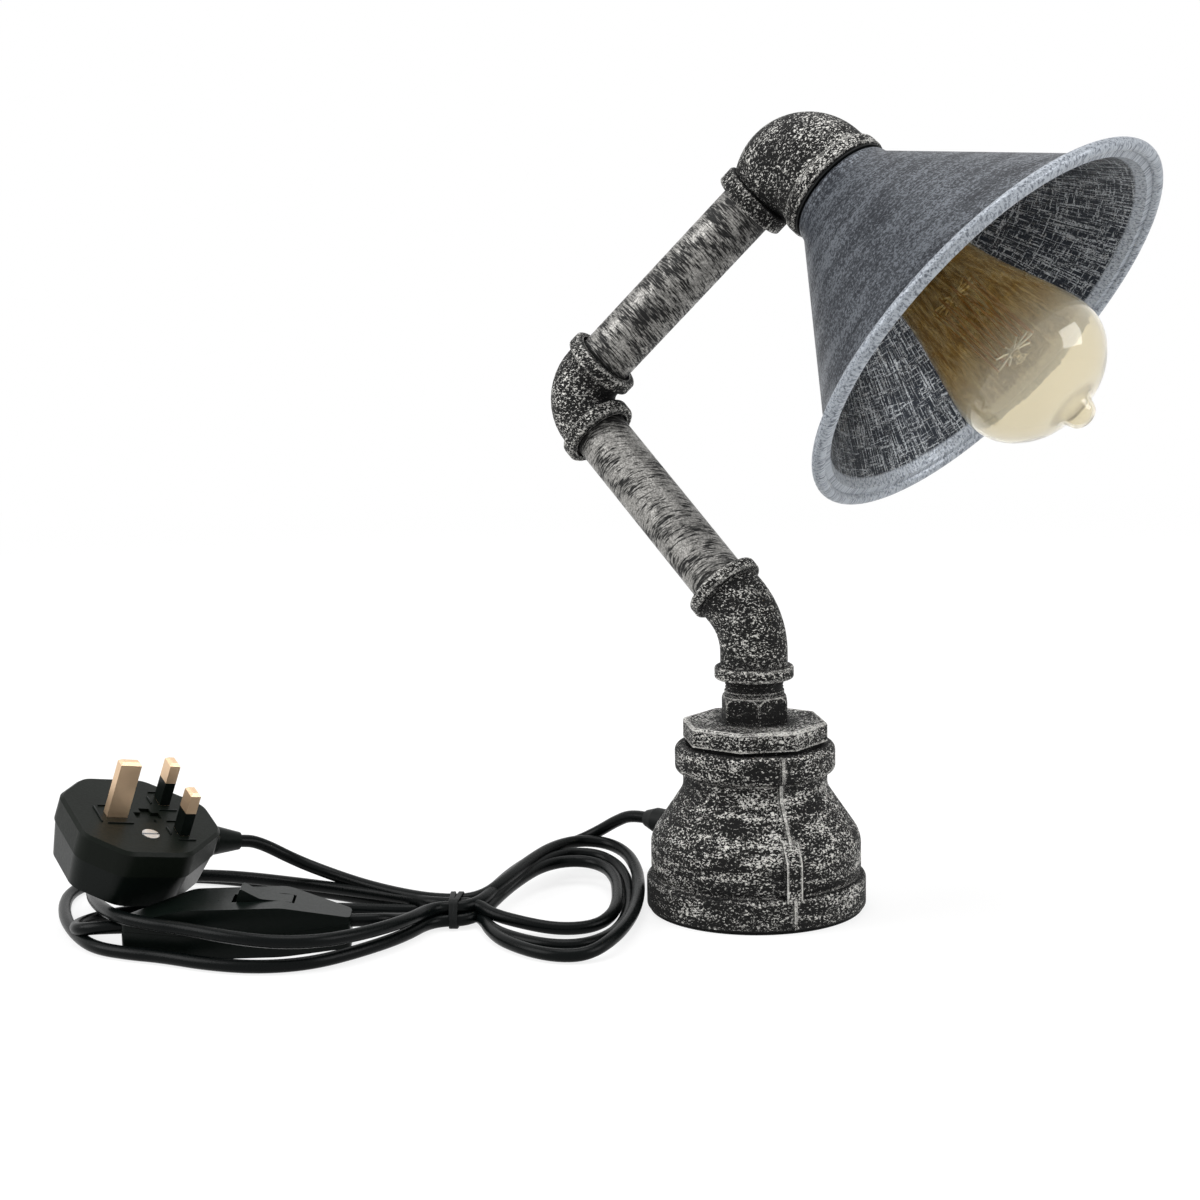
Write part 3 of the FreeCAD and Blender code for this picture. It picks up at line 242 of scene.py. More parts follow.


# Edge is 1 along edges and 0 on open faces; the other output falls from 1 in corners and between parts, a
# painted shade that also keeps the brushed silver out of hollows
def buildEdgeWearAndCornerShade():
    tree, given, result = newGroup(
        "edgeWearAndCornerShade",
        [("Radius", "NodeSocketFloat", 0.0006), ("Strength", "NodeSocketFloat", 5.0)],
        [("Edge", "NodeSocketFloat"), ("Unshaded", "NodeSocketFloat")])
    rounded = addNode(
        tree, "ShaderNodeBevel", {"Radius": given.outputs["Radius"]}, samples=wearAndShadeForm["samples"])
    plain = addNode(tree, "ShaderNodeNewGeometry")
    along = addNode(tree, "ShaderNodeVectorMath", {
        0: rounded.outputs[0], 1: plain.outputs["Normal"]}, operation="DOT_PRODUCT")
    off = calc(tree, "SUBTRACT", 1.0, along.outputs["Value"])
    edge = calc(tree, "MULTIPLY", off, given.outputs["Strength"], clamp=True)
    # ambient occlusion gives painted shade in corners and in the gaps between parts
    cornerShade = addNode(tree, "ShaderNodeAmbientOcclusion", {
        "Distance": wearAndShadeForm["cornerShadeReach"]}, samples=wearAndShadeForm["samples"])
    unshadedShare = calc(tree, "POWER", cornerShade.outputs["AO"], wearAndShadeForm["cornerShadePower"])
    tree.links.new(calc(tree, "MULTIPLY", edge, unshadedShare), result.inputs["Edge"])
    tree.links.new(unshadedShare, result.inputs["Unshaded"])
    return tree


brushedGrain = buildBrushedGrain()
edgeWearAndCornerShade = buildEdgeWearAndCornerShade()
print("shader groups built")


# values are plain inputs of the shader
def newMaterial(name, **values):
    material = bpy.data.materials.new(name)
    material.use_nodes = True
    tree = material.node_tree
    shader = tree.nodes["Principled BSDF"]
    for label, value in values.items():
        shader.inputs[label.replace("_", " ")].default_value = value
    return material, tree, shader


def placeGroup(tree, group, **inputs):
    node = tree.nodes.new("ShaderNodeGroup")
    node.node_tree = group
    for label, value in inputs.items():
        feed(tree, node.inputs[label], value)
    return node


def mixColour(tree, share, first, second):
    node = tree.nodes.new("ShaderNodeMix")
    node.data_type = "RGBA"
    for index, value in ((0, share), (6, first), (7, second)):    # the sockets for colours
        feed(tree, node.inputs[index], value)
    return node.outputs[2]


# a 0 to 1 value stretched to run from low to high
def spread(tree, value, low, high):
    return addNode(tree, "ShaderNodeMapRange", {"Value": value, "To Min": low, "To Max": high}).outputs[0]


def addNoise(tree, place, detail, scale=1.0, roughness=0.5):
    return addNode(tree, "ShaderNodeTexNoise", {
        "Vector": place, "Scale": scale, "Detail": detail, "Roughness": roughness}).outputs["Fac"]


def objectPlace(tree):
    return addNode(tree, "ShaderNodeTexCoord").outputs["Object"]


# object coordinates with Z along a way, divided by the size of the pattern's marks
def turnedPlace(tree, way, sizes, centre=(0, 0, 0)):
    turn = Vector(way).to_track_quat("Z", "Y").to_euler()
    return addNode(tree, "ShaderNodeMapping", {
        "Vector": objectPlace(tree), "Location": centre, "Rotation": turn, "Scale": sizes,
    }, vector_type="TEXTURE").outputs[0]


# bump is a distance in metres and a strength
def addBump(tree, shader, height, bump):
    node = addNode(tree, "ShaderNodeBump", {"Height": height, "Distance": bump[0], "Strength": bump[1]})
    tree.links.new(node.outputs[0], shader.inputs["Normal"])


ironLook = {
    "shader": {"IOR": 1.45, "Specular_IOR_Level": 0.12},
    "black": (0.008, 0.008, 0.008, 1),
    "silver": (0.60, 0.59, 0.56, 1),
    "marks": (0.00095, 0.00095, 0.00062),    # a little longer round the casting than along it
    "soft": 0.055,
    "bands": (0.016, 0.016, 0.0022),         # size of the brushed bands
    "patchScale": 90.0,
    "patches": 0.26,
    "edgeRadius": 0.0017,
    "edgeStrength": 9.0,
    "edgeSilver": 0.7,
    "roughness": (0.66, 0.42),               # of the black and of the silver
    "metallic": (0.0, 0.5),
    "bump": (0.0006, 0.9),
}


# rough black casting with silver brushed over its grain, in bands square to a way, and painted shade that
# thins the silver in corners
def ironMaterial(name, cover, streak, way=(0, 0, 1)):
    look = ironLook
    material, tree, shader = newMaterial(name, **look["shader"])
    bands = addNoise(tree, turnedPlace(tree, way, look["bands"]), detail=3.0, roughness=0.6)
    patches = addNoise(tree, objectPlace(tree), detail=2.0, scale=look["patchScale"])
    wearAndShade = placeGroup(tree, edgeWearAndCornerShade, Radius=look["edgeRadius"], Strength=look["edgeStrength"])
    amount = calc(tree, "ADD", spread(tree, bands, -streak, streak),
                  spread(tree, patches, -look["patches"], look["patches"]))
    amount = calc(tree, "ADD", amount, calc(tree, "MULTIPLY", wearAndShade.outputs["Edge"], look["edgeSilver"]))
    amount = calc(tree, "ADD", amount, cover)
    # the silver thins out in corners and between parts: painted shade
    amount = calc(tree, "MULTIPLY", amount, wearAndShade.outputs["Unshaded"])
    grain = placeGroup(tree, brushedGrain, Vector=turnedPlace(tree, way, look["marks"]),
                       Grain=1.0, Cover=amount, Soft=look["soft"])
    mask = grain.outputs["Mask"]
    tree.links.new(mixColour(tree, mask, look["black"], look["silver"]), shader.inputs["Base Color"])
    tree.links.new(spread(tree, mask, *look["roughness"]), shader.inputs["Roughness"])
    tree.links.new(spread(tree, mask, *look["metallic"]), shader.inputs["Metallic"])
    addBump(tree, shader, grain.outputs["Height"], look["bump"])
    return material


pipeLook = {
    "shader": {"IOR": 1.45, "Specular_IOR_Level": 0.2},
    "black": (0.010, 0.010, 0.010, 1),
    "silver": (0.40, 0.39, 0.37, 1),
    "strokes": (0.0048, 0.0048, 0.00055),
    "soft": 0.10,
    "clouds": (0.010, 0.010, 0.006),
    "cloudShift": 0.6,
    "fineGrain": 1300.0,
    "fineCover": 0.5,
    "fineSoft": 0.15,
    "fineLow": 0.45,                         # share of the silver that the fine grain leaves
    "roughness": (0.55, 0.36),
    "metallic": (0.0, 0.6),
    "bump": (0.0004, 0.5),
}


# pipe brushed round and aslant by some degrees, silver over black
def pipeMaterial(name, way, lean, cover):
    look = pipeLook
    material, tree, shader = newMaterial(name, **look["shader"])
    along = Vector(way).normalized()
    side = along.cross(Vector((0, 0, 1))).normalized()
    slant = Matrix.Rotation(math.radians(lean), 3, side.cross(along)) @ along
    clouds = addNoise(tree, turnedPlace(tree, slant, look["clouds"]), detail=2.0)
    amount = calc(tree, "ADD", spread(tree, clouds, -look["cloudShift"], look["cloudShift"]), cover)
    # less silver in corners and where the pipe enters its fittings: painted shade
    amount = calc(tree, "MULTIPLY", amount, placeGroup(tree, edgeWearAndCornerShade).outputs["Unshaded"])
    grain = placeGroup(tree, brushedGrain, Vector=turnedPlace(tree, slant, look["strokes"]),
                       Grain=1.0, Cover=amount, Soft=look["soft"])
    fine = placeGroup(tree, brushedGrain, Vector=objectPlace(tree), Grain=look["fineGrain"],
                      Cover=look["fineCover"], Soft=look["fineSoft"])
    mask = calc(tree, "MULTIPLY", grain.outputs["Mask"],
                spread(tree, fine.outputs["Mask"], look["fineLow"], 1.0))
    tree.links.new(mixColour(tree, mask, look["black"], look["silver"]), shader.inputs["Base Color"])
    tree.links.new(spread(tree, mask, *look["roughness"]), shader.inputs["Roughness"])
    tree.links.new(spread(tree, mask, *look["metallic"]), shader.inputs["Metallic"])
    addBump(tree, shader, grain.outputs["Height"], look["bump"])
    return material


headWay = Vector(joints["bulb_slide"]["axis"]).normalized()
headCorner = Vector(joints["head_swivel"]["pos_m"])
# lengths along the head's axis are from its corner
shadeLook = {
    "shader": {"IOR": 1.45, "Specular_IOR_Level": 0.2},
    "outDark": (0.008, 0.010, 0.015, 1),
    "outLight": (0.122, 0.134, 0.153, 1),
    "outCloud": (0.035, 0.035, 0.007),       # where the specks and the strokes lie thicker
    "speckGrain": 980.0,
    "speckCover": (0.12, 0.78),
    "speckSoft": 0.08,
    "speckShare": 0.75,
    "strokeMarks": (0.018, 0.018, 0.0006),
    "strokeCover": (0.10, 0.80),
    "strokeSoft": 0.16,
    "strokeShare": 0.30,
    "inDark": (0.006, 0.009, 0.015, 1),
    "inLight": (0.37, 0.39, 0.41, 1),
    "spokes": (84.0, 90.0),                  # marks in a radian and in a metre
    "spokeCover": 0.40,
    "ringMarks": (0.008, 0.008, 0.0006),
    "ringCover": 0.34,
    "gridSoft": 0.05,
    "brokenGrain": 1500.0,
    "brokenCover": 0.55,
    "brokenSoft": 0.08,
    "rimDark": (0.110, 0.122, 0.145, 1),
    "rimLight": (0.38, 0.41, 0.45, 1),
    "dashes": (90.0, 1100.0),
    "dashCover": 0.60,
    "dashSoft": 0.14,
    "rimStart": 0.0988,
    "rimBlend": 0.0008,
    "roughness": (0.52, 0.38),
    "metallic": (0.10, 0.45),
    "bump": (0.0002, 0.5),
}


# marks counted by the angle round the head's axis and by the reach along it
def roundPlace(tree, angle, reach, counts):
    return addNode(tree, "ShaderNodeCombineXYZ", {
        0: calc(tree, "MULTIPLY", angle, counts[0]),
        1: calc(tree, "MULTIPLY", reach, counts[1])}).outputs[0]


# 1 on the shade's outer side and 0 on its inner side
def shadeOutside(tree, x, y):
    flat = addNode(tree, "ShaderNodeCombineXYZ", {0: x, 1: y}).outputs[0]
    outward = addNode(tree, "ShaderNodeVectorMath", {0: flat}, operation="NORMALIZE").outputs[0]
    facing = addNode(tree, "ShaderNodeMapping", {
        "Vector": addNode(tree, "ShaderNodeTexCoord").outputs["Normal"],
        "Rotation": headWay.to_track_quat("Z", "Y").to_euler(),
    }, vector_type="TEXTURE").outputs[0]
    along = addNode(tree, "ShaderNodeVectorMath", {0: facing, 1: outward}, operation="DOT_PRODUCT")
    return calc(tree, "GREATER_THAN", along.outputs["Value"], 0.0)


# blue grey outside with soft strokes round the cone, dark inside with a crossed brush grid
def shadeMaterial():
    look = shadeLook
    material, tree, shader = newMaterial("shadePaint", **look["shader"])
    place = turnedPlace(tree, headWay, (1, 1, 1), headCorner)
    x, y, reach = addNode(tree, "ShaderNodeSeparateXYZ", {0: place}).outputs
    angle = calc(tree, "ARCTAN2", y, x)

    cloud = addNoise(tree, turnedPlace(tree, headWay, look["outCloud"], headCorner), detail=3.0)
    specks = placeGroup(tree, brushedGrain, Vector=objectPlace(tree), Grain=look["speckGrain"],
                        Cover=spread(tree, cloud, *look["speckCover"]), Soft=look["speckSoft"])
    strokePlace = turnedPlace(tree, headWay, look["strokeMarks"], headCorner)
    strokes = placeGroup(tree, brushedGrain, Vector=strokePlace, Grain=1.0,
                         Cover=spread(tree, cloud, *look["strokeCover"]), Soft=look["strokeSoft"])
    speckPaint = calc(tree, "MULTIPLY", specks.outputs["Mask"], look["speckShare"])
    strokePaint = calc(tree, "MULTIPLY", strokes.outputs["Mask"], look["strokeShare"])
    outMask = calc(tree, "ADD", speckPaint, strokePaint, clamp=True)
    outColour = mixColour(tree, outMask, look["outDark"], look["outLight"])

    spokes = placeGroup(tree, brushedGrain, Vector=roundPlace(tree, angle, reach, look["spokes"]),
                        Grain=1.0, Cover=look["spokeCover"], Soft=look["gridSoft"])
    ringPlace = turnedPlace(tree, headWay, look["ringMarks"], headCorner)
    rings = placeGroup(tree, brushedGrain, Vector=ringPlace, Grain=1.0, Cover=look["ringCover"],
                       Soft=look["gridSoft"])
    broken = placeGroup(tree, brushedGrain, Vector=objectPlace(tree), Grain=look["brokenGrain"],
                        Cover=look["brokenCover"], Soft=look["brokenSoft"])
    grid = calc(tree, "MAXIMUM", spokes.outputs["Mask"], rings.outputs["Mask"])
    grid = calc(tree, "MULTIPLY", grid, broken.outputs["Mask"])
    inColour = mixColour(tree, grid, look["inDark"], look["inLight"])

    dashes = placeGroup(tree, brushedGrain, Vector=roundPlace(tree, angle, reach, look["dashes"]),
                        Grain=1.0, Cover=look["dashCover"], Soft=look["dashSoft"])
    rimColour = mixColour(tree, dashes.outputs["Mask"], look["rimDark"], look["rimLight"])
    rim = addNode(tree, "ShaderNodeMapRange", {
        "Value": reach, "From Min": look["rimStart"],
        "From Max": look["rimStart"] + look["rimBlend"]}).outputs[0]
    sides = mixColour(tree, shadeOutside(tree, x, y), inColour, outColour)
    tree.links.new(mixColour(tree, rim, sides, rimColour), shader.inputs["Base Color"])
    tree.links.new(spread(tree, outMask, *look["roughness"]), shader.inputs["Roughness"])
    tree.links.new(spread(tree, outMask, *look["metallic"]), shader.inputs["Metallic"])
    addBump(tree, shader, specks.outputs["Height"], look["bump"])
    return material


plainLook = {
    "cover": 0.5,
    "soft": 0.3,
    "cloudScale": 60.0,
    "cloudShare": 0.75,                      # how much of the colour is left in its clouds
    "roughness": (0.9, 1.15),                # shares of the given roughness
    "bump": (0.0001, 0.4),
}


# a moulded or metal finish with a fine grain and slightly uneven colour and gloss
def plainMaterial(name, colour, roughness, grain=900.0, **values):
    look = plainLook
    material, tree, shader = newMaterial(name, **values)
    fine = placeGroup(tree, brushedGrain, Vector=objectPlace(tree), Grain=grain,
                      Cover=look["cover"], Soft=look["soft"])
    cloud = addNoise(tree, objectPlace(tree), detail=3.0, scale=look["cloudScale"])
    darker = tuple(part * look["cloudShare"] for part in colour[:3]) + (1,)
    low, high = (roughness * share for share in look["roughness"])
    tree.links.new(mixColour(tree, cloud, darker, colour), shader.inputs["Base Color"])
    tree.links.new(spread(tree, fine.outputs["Mask"], low, high), shader.inputs["Roughness"])
    addBump(tree, shader, fine.outputs["Height"], look["bump"])
    return material


# lengths along the head's axis are from its corner
glassLook = {
    "shader": {"IOR": 1.45, "Transmission_Weight": 0.84, "Roughness": 0.0},
    "neck": (0.99, 0.84, 0.48, 1),
    # the dome's colour holds painted light from the bright backdrop
    "litDome": (0.96, 0.90, 0.74, 1),
    "stem": (0.90, 0.86, 0.72, 1),
    "deeper": (0.60, 0.47, 0.28),            # shares of the neck's colour between its streaks
    "streaks": (0.0013, 0.0013, 0.022),      # long along the bulb
    "streakEdge": (0.42, 0.58),
    # the painted light begins at the shade's rim, where the dome leaves the shade's dark
    "litDomeStart": 0.104,
    "litDomeEnd": 0.123,
    "waves": 30.0,
    "bump": (0.0002, 0.3),
}


# blown glass, a little wavy, streaked at the neck, and painted paler from the shade's rim outwards:
# painted light where the dome stands out against the bright backdrop
def glassMaterial(name, neckTint, litDomeTint):
    look = glassLook
    material, tree, shader = newMaterial(name, **look["shader"])
    waves = addNoise(tree, objectPlace(tree), detail=1.0, scale=look["waves"])
    streaks = addNoise(tree, turnedPlace(tree, headWay, look["streaks"], headCorner), detail=2.0)
    bright = addNode(tree, "ShaderNodeMapRange", {
        "Value": streaks, "From Min": look["streakEdge"][0], "From Max": look["streakEdge"][1]})
    place = turnedPlace(tree, headWay, (1, 1, 1), headCorner)
    reach = addNode(tree, "ShaderNodeSeparateXYZ", {0: place}).outputs[2]
    # share of the painted light, from 0 inside the shade to 1 on the dome
    litDomeShare = addNode(tree, "ShaderNodeMapRange", {
        "Value": reach, "From Min": look["litDomeStart"], "From Max": look["litDomeEnd"],
    }, interpolation_type="SMOOTHSTEP")
    deeper = tuple(part * share for part, share in zip(neckTint, look["deeper"])) + (1,)
    neck = mixColour(tree, bright.outputs[0], deeper, neckTint)
    tree.links.new(mixColour(tree, litDomeShare.outputs[0], neck, litDomeTint), shader.inputs["Base Color"])
    addBump(tree, shader, waves, look["bump"])
    return material


lowerWay = joints["elbow_swivel"]["axis"]
upperWay = joints["head_swivel"]["axis"]
materials = {
    "foot": ironMaterial("footIron", 0.32, 0.40),
    "bush": ironMaterial("bushIron", 0.36, 0.15),
    "fitting": ironMaterial("fittingIron", 0.32, 0.20),
    "nipple": ironMaterial("nippleIron", 0.20, 0.15),
    "headFitting": ironMaterial("headIron", 0.31, 0.20, headWay),
    "lowerPipe": pipeMaterial("lowerPipePaint", lowerWay, -24.0, 0.56),
    "upperPipe": pipeMaterial("upperPipePaint", upperWay, 18.0, 0.50),
    "shade": shadeMaterial(),
    "satinBlack": plainMaterial("satinBlack", (0.006, 0.007, 0.007, 1), 0.50, Specular_IOR_Level=0.12),
    "glossBlack": plainMaterial("glossBlack", (0.003, 0.005, 0.004, 1), 0.30, Specular_IOR_Level=0.09),
    "plugFace": plainMaterial("plugFace", (0.005, 0.007, 0.005, 1), 0.40, Specular_IOR_Level=0.08),
    "cord": plainMaterial("cordSheath", (0.002, 0.003, 0.003, 1), 0.28, 1500.0, Specular_IOR_Level=0.08),
    "pad": plainMaterial("padRubber", (0.008, 0.008, 0.008, 1), 0.75, Specular_IOR_Level=0.12),
    "brass": plainMaterial("pinBrass", (0.80, 0.58, 0.38, 1), 0.42, 1400.0, Metallic=1.0),
    "steel": plainMaterial("zincSteel", (0.62, 0.63, 0.64, 1), 0.30, Metallic=1.0),
    "filament": plainMaterial("filamentWire", (0.46, 0.24, 0.10, 1), 0.40, Metallic=0.6),
    "ceramic": plainMaterial("fuseCeramic", (0.80, 0.78, 0.72, 1), 0.35),
    "bulbInsulation": plainMaterial("blackGlass", (0.03, 0.03, 0.035, 1), 0.15),
    "amberGlass": glassMaterial("amberGlass", glassLook["neck"], glassLook["litDome"]),
    "clearGlass": glassMaterial("clearGlass", glassLook["stem"], glassLook["stem"]),
}
finishes = {
    "foot": ["base_fitting"],
    "bush": ["base_bush"],
    "fitting": ["lower_elbow", "middle_elbow"],
    "nipple": ["base_nipple"],
    "headFitting": ["top_elbow"],
    "lowerPipe": ["lower_pipe"],
    "upperPipe": ["upper_pipe"],
    "shade": ["shade"],
    "satinBlack": ["shade_washer", "shade_ring", "holder_body", "holder_cap", "lead_grip", "grip_nut"],
    "glossBlack": ["switch_lower", "switch_upper", "switch_rocker", "plug_cover", "plug_boot",
                   "pin_sleeves"],
    "plugFace": ["plug_base"],
    "cord": ["wire_base", "wire_lower", "wire_upper", "wire_head", "wire_switch", "lead_hank",
             "lead_cord", "plug_cord", "switch_cord_left", "switch_cord_right", "hank_tie"],
    "pad": ["base_pad"],
    "brass": ["earth_pin", "line_pin", "neutral_pin", "holder_contact", "holder_shell", "bulb_tip"],
    "steel": ["switch_pin", "plug_screws", "fuse_clips", "bulb_cap", "bulb_supports"],
    "filament": ["bulb_filament"],
    "ceramic": ["plug_fuse"],
    "bulbInsulation": ["bulb_insulator"],
    "amberGlass": ["bulb_glass"],
    "clearGlass": ["bulb_stem"],
}


def dressNodes():
    for finish, names in finishes.items():
        for name in names:
            data = cadNodes[name].data
            data.materials.clear()
            data.materials.append(materials[finish])


dressNodes()
print("materials made,", len(materials))

lead = {
    "diameter": 0.0048,
    "length": 2.10,
    "roundness": 5,
    "steps": 8,                 # between two points of the route
    "tie": (-0.1115, -0.0252),
    "tieHalf": 0.008,           # each crossing runs straight this far to both sides of the tie
    "gripEnd": [
        (-0.04259, 0.03574, 0.0245), (-0.0491, 0.0412, 0.0245), (-0.0560, 0.0475, 0.0203),
        (-0.0630, 0.0525, 0.0150), (-0.0710, 0.0535, 0.0108), (-0.0800, 0.0460, 0.0094),
        (-0.0875, 0.0310, 0.0094), (-0.0930, 0.0140, 0.0095), (-0.0975, -0.0020, 0.0088),
    ],
    "switchLoop": [
        (-0.1290, -0.0370, 0.0050), (-0.1353, -0.0486, 0.0085), (-0.1512, -0.0502, 0.0085),
        (-0.1870, -0.0540, 0.0085), (-0.2228, -0.0578, 0.0085), (-0.2367, -0.0592, 0.0085),
        (-0.2465, -0.0550, 0.0065), (-0.2505, -0.0410, 0.0040), (-0.2475, -0.0270, 0.0026),
        (-0.2340, -0.0170, 0.0026), (-0.2120, -0.0140, 0.0026), (-0.1820, -0.0140, 0.0026),
        (-0.1550, -0.0160, 0.0026), (-0.1310, -0.0200, 0.0032),
    ],
    "plugEnd": [
        (-0.1340, -0.0120, 0.0072), (-0.1490, -0.0030, 0.0080), (-0.1630, 0.0050, 0.0100),
        (-0.1780, 0.0090, 0.0145), (-0.19162, 0.00210, 0.02430), (-0.19781, -0.00275, 0.02576),
        (-0.20555, -0.00881, 0.02759),
    ],
    # the form of a lobe on each side of the tie: shares of its reach and of its depth, front first
    "leftLobe": [
        (0.10, -0.42), (0.19, -0.72), (0.28, -0.93), (0.39, -1.0), (0.51, -0.94), (0.63, -0.80),
        (0.708, -0.75), (0.804, -0.64), (0.869, -0.42), (0.933, -0.12), (0.978, 0.22), (1.0, 0.55),
        (0.985, 0.82), (0.90, 0.99), (0.78, 1.03), (0.64, 0.98), (0.45, 0.74), (0.26, 0.46),
        (0.12, 0.22),
    ],
    "rightLobe": [
        (0.24, -0.50), (0.44, -0.84), (0.62, -1.0), (0.78, -0.98), (0.90, -0.75), (0.975, -0.36),
        (1.0, 0.10), (0.985, 0.40), (0.96, 0.62), (0.89, 0.86), (0.765, 0.99), (0.60, 0.995),
        (0.455, 0.86), (0.35, 0.63), (0.25, 0.34),
    ],
    # place across the tie and height of the seven crossings, first to last
    "crossings": [
        (-0.0048, 0.0075), (0.0000, 0.0075), (-0.0072, 0.0033), (0.0024, 0.0033), (-0.0024, 0.0033),
        (0.0072, 0.0033), (0.0048, 0.0075),
    ],
    # reach, depth at the front and at the back, and heights in millimetres from one end to the other
    "lobes": [
        (-0.1440, 0.061, 0.045, (8, 9, 11, 12.6, 13, 14, 10.5, 7.5, 6, 5.5, 5.5, 6, 6.5)),
        (0.0600, 0.017, 0.056, (7.4, 5, 3, 3, 5.5, 6.5, 7.5, 8.5, 8.5, 7, 4)),
        (-0.1560, 0.061, 0.053, (3, 2.6, 2.6, 2.6, 2.6, 2.6, 2.8)),
        (0.0640, 0.036, 0.065, (2.8, 2.6, 2.6, 2.6, 2.6, 3.5, 6, 9, 9.5, 9, 5)),
        (0.0677, 0.048, 0.074, (3.2, 2.6, 2.6, 3, 6, 7.4, 7.4, 8.5, 11, 12.2, 12.2, 11, 8)),
    ],
    "lobesBeforeSwitch": 4,
}


# a negative reach goes to the left, and the heights are spread evenly over the lobe's points
def lobePoints(reach, front, back, heights):
    shape = lead["leftLobe"] if reach < 0 else lead["rightLobe"]
    tieX, tieY = lead["tie"]
    points = []
    for index, (out, across) in enumerate(shape):
        at = (index + 1) / (len(shape) + 1) * (len(heights) - 1)
        low = min(int(at), len(heights) - 2)
        height = heights[low] + (heights[low + 1] - heights[low]) * (at - low)
        depth = front if across < 0 else back
        points.append((tieX + out * reach, tieY + across * depth, height / 1000))
    return points


# the lead comes from the grip, crosses the tie seven times and ends at the plug
def leadPoints():
    stretches = [lobePoints(*lobe) for lobe in lead["lobes"]]
    stretches.insert(lead["lobesBeforeSwitch"], lead["switchLoop"])
    stretches.append(lead["plugEnd"])
    tieX, tieY = lead["tie"]
    points = list(lead["gripEnd"])
    going = -1                      # the first crossing goes to the left
    for (across, height), stretch in zip(lead["crossings"], stretches):
        for step in (-going, going):
            points.append((tieX + step * lead["tieHalf"], tieY + across, height))
        points.extend(stretch)
        going = -going
    return points


def layLead():
    points = leadPoints()
    curve = bpy.data.curves.new("mainsLead", "CURVE")
    curve.dimensions = "3D"
    curve.bevel_depth = lead["diameter"] / 2
    curve.bevel_resolution = lead["roundness"]
    curve.resolution_u = lead["steps"]
    spline = curve.splines.new("NURBS")
    spline.points.add(len(points) - 1)
    for knot, point in zip(spline.points, points):
        knot.co = (*point, 1.0)
    spline.order_u = 3
    spline.use_endpoint_u = True
    curve.materials.append(materials["cord"])
    cord = linkObject("mains_lead", curve)
    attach(cord, "root")
    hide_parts("lead_cord", "lead_hank", "plug_cord", "switch_cord_left", "switch_cord_right")
    print("lead laid,", len(points), "points")


def addPiece(name, mesh, finish, body, slot, *replaced):
    data = bpy.data.meshes.new(name)
    bmesh.ops.recalc_face_normals(mesh, faces=mesh.faces)
    mesh.to_mesh(data)
    mesh.free()
    data.materials.append(materials[finish])
    data.shade_smooth()
    piece = linkObject(name, data)
    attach(piece, body)
    if replaced:
        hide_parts(*replaced)
    print(name, "made")


def bevelSharp(mesh, width, sharpFrom=30.0):
    sharp = [edge for edge in mesh.edges
             if len(edge.link_faces) == 2 and edge.calc_face_angle() > math.radians(sharpFrom)]
    bmesh.ops.bevel(mesh, geom=sharp, offset=width, affect="EDGES", segments=2, profile=0.5,
                    material=-1)


tie = {
    "rows": [(0.0072, 0.0033), (0.0048, 0.0075)],    # half width and height of the two layers of cord
    "inner": 0.00245,                                # from the outer cords' centres
    "outer": 0.0032,
    "steps": 56,
    "turns": [(-0.00115, 4.0), (0.00115, -3.0)],     # place along the lead and lean of each turn
    "turnWidth": 0.0020,
    "bevel": 0.0003,
}


# the tightest line round the outer cords, a given distance from their centres
def roundBundle(direction, distance):
    corners = [Vector((side * half, height)) for half, height in tie["rows"] for side in (-1, 1)]
    way = Vector((math.cos(direction), math.sin(direction)))
    return max(corners, key=lambda corner: corner.dot(way)) + way * distance


def makeTieTurn(along, lean):
    mesh = bmesh.new()
    directions = [2 * math.pi * step / tie["steps"] for step in range(tie["steps"])]
    for distance in (tie["outer"], tie["inner"]):
        ring = [mesh.verts.new((0, *roundBundle(way, distance))) for way in directions]
        for first, second in zip(ring, ring[1:] + ring[:1]):
            mesh.edges.new((first, second))
    bmesh.ops.bridge_loops(mesh, edges=mesh.edges[:])
    raised = bmesh.ops.extrude_face_region(mesh, geom=mesh.faces[:])["geom"]
    moved = [item for item in raised if isinstance(item, bmesh.types.BMVert)]
    bmesh.ops.translate(mesh, verts=moved, vec=(tie["turnWidth"], 0, 0))
    bevelSharp(mesh, tie["bevel"])
    centred = Matrix.Translation((-tie["turnWidth"] / 2, 0, 0))
    turn = Matrix.Rotation(math.radians(lean), 4, "Z")
    mesh.transform(Matrix.Translation((lead["tie"][0] + along, lead["tie"][1], 0)) @ turn @ centred)
    return mesh


def makeTie():
    mesh = bmesh.new()
    for along, lean in tie["turns"]:
        part = makeTieTurn(along, lean)
        data = bpy.data.meshes.new("tieTurn")
        part.to_mesh(data)
        part.free()
        mesh.from_mesh(data)
        bpy.data.meshes.remove(data)
    addPiece("lead_tie", mesh, "satinBlack", "root", "black_plastic", "hank_tie")


thread = {
    "radius": 0.01045,
    "crest": 0.00050,
    "pitch": 0.00120,
    "turns": 3,
    "gap": 0.00015,             # under the elbow's mouth
    "steps": 72,
}


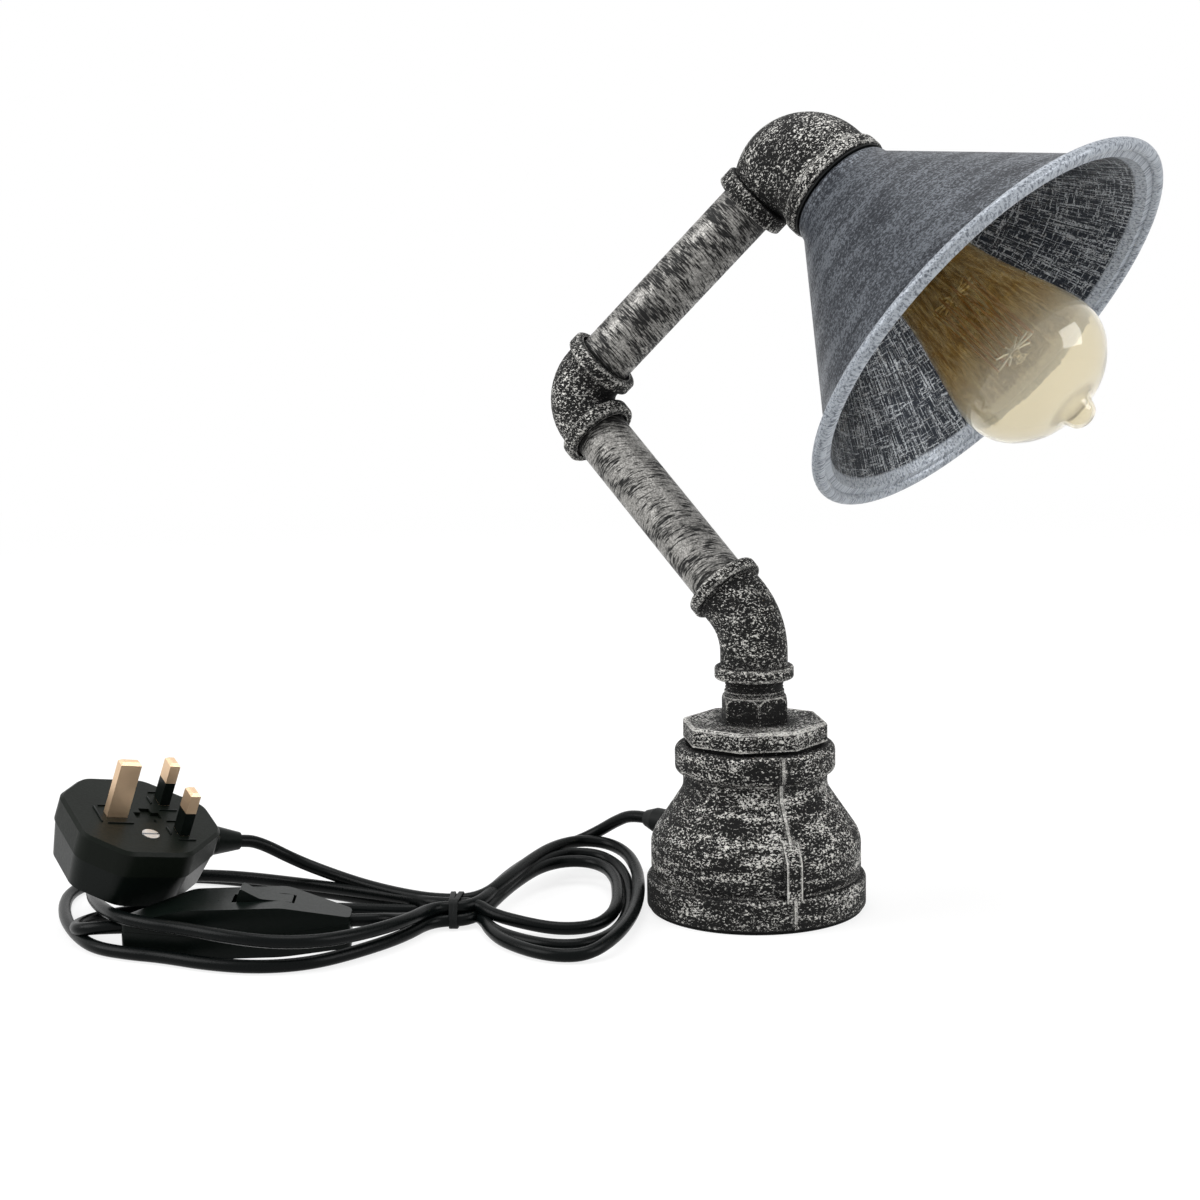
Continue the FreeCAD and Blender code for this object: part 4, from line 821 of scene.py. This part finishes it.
# turned thread between the nipple and the lower elbow
def makeThread():
    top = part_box("lower_elbow")[0][2] - thread["gap"]
    rings = []
    for index in range(thread["turns"]):
        low = top - (thread["turns"] - index) * thread["pitch"]
        rings.append((thread["radius"], low))
        rings.append((thread["radius"] + thread["crest"], low + thread["pitch"] / 2))
    rings.append((thread["radius"], top))
    mesh = bmesh.new()
    line = [mesh.verts.new((radius, 0, height)) for radius, height in rings]
    for first, second in zip(line, line[1:]):
        mesh.edges.new((first, second))
    bmesh.ops.spin(mesh, geom=mesh.verts[:] + mesh.edges[:], cent=(0, 0, 0), axis=(0, 0, 1),
                   angle=2 * math.pi, steps=thread["steps"], use_merge=True)
    addPiece("nipple_thread", mesh, "nipple", "root", "iron_casting")


plug = {
    "centre": (-0.2265, -0.0295, 0.0426),
    "heading": 36.2,
    "tilt": 22.3,
    "tiltWay": -25.0,
    "ribWidth": 0.0006,
    "ribHeight": 0.0005,
    "ribBevel": 0.00012,
    # raised guide lines on each half of the face: middle, length and turn
    "ribPairs": [
        (-0.0111, 0.0062, 0.0100, 0.0), (0.0060, 0.0111, 0.0050, 90.0), (0.0111, 0.0172, 0.0070, 0.0),
        (0.0111, 0.0040, 0.0070, 0.0),
    ],
    "middleRib": (-0.0180, 0.0, 0.0110, 90.0),
}


def plugPlace():
    way = math.radians(plug["tiltWay"])
    hinge = Vector((-math.sin(way), math.cos(way), 0))
    tilt = Matrix.Rotation(math.radians(plug["tilt"]), 4, hinge)
    turn = Matrix.Rotation(math.radians(plug["heading"]), 4, "Z")
    return Matrix.Translation(plug["centre"]) @ tilt @ turn


def makePlugRibs():
    ribs = [(x, side * y, length, turn) for x, y, length, turn in plug["ribPairs"] for side in (-1, 1)]
    mesh = bmesh.new()
    for x, y, length, turn in ribs + [plug["middleRib"]]:
        size = Matrix.Diagonal((length, plug["ribWidth"], plug["ribHeight"] * 2, 1))
        place = Matrix.Translation((x, y, 0)) @ Matrix.Rotation(math.radians(turn), 4, "Z")
        bmesh.ops.create_cube(mesh, size=1.0, matrix=plugPlace() @ place @ size)
    bevelSharp(mesh, plug["ribBevel"])
    addPiece("plug_ribs", mesh, "glossBlack", "root", "gloss_black")


makeTie()
layLead()
makeThread()
makePlugRibs()
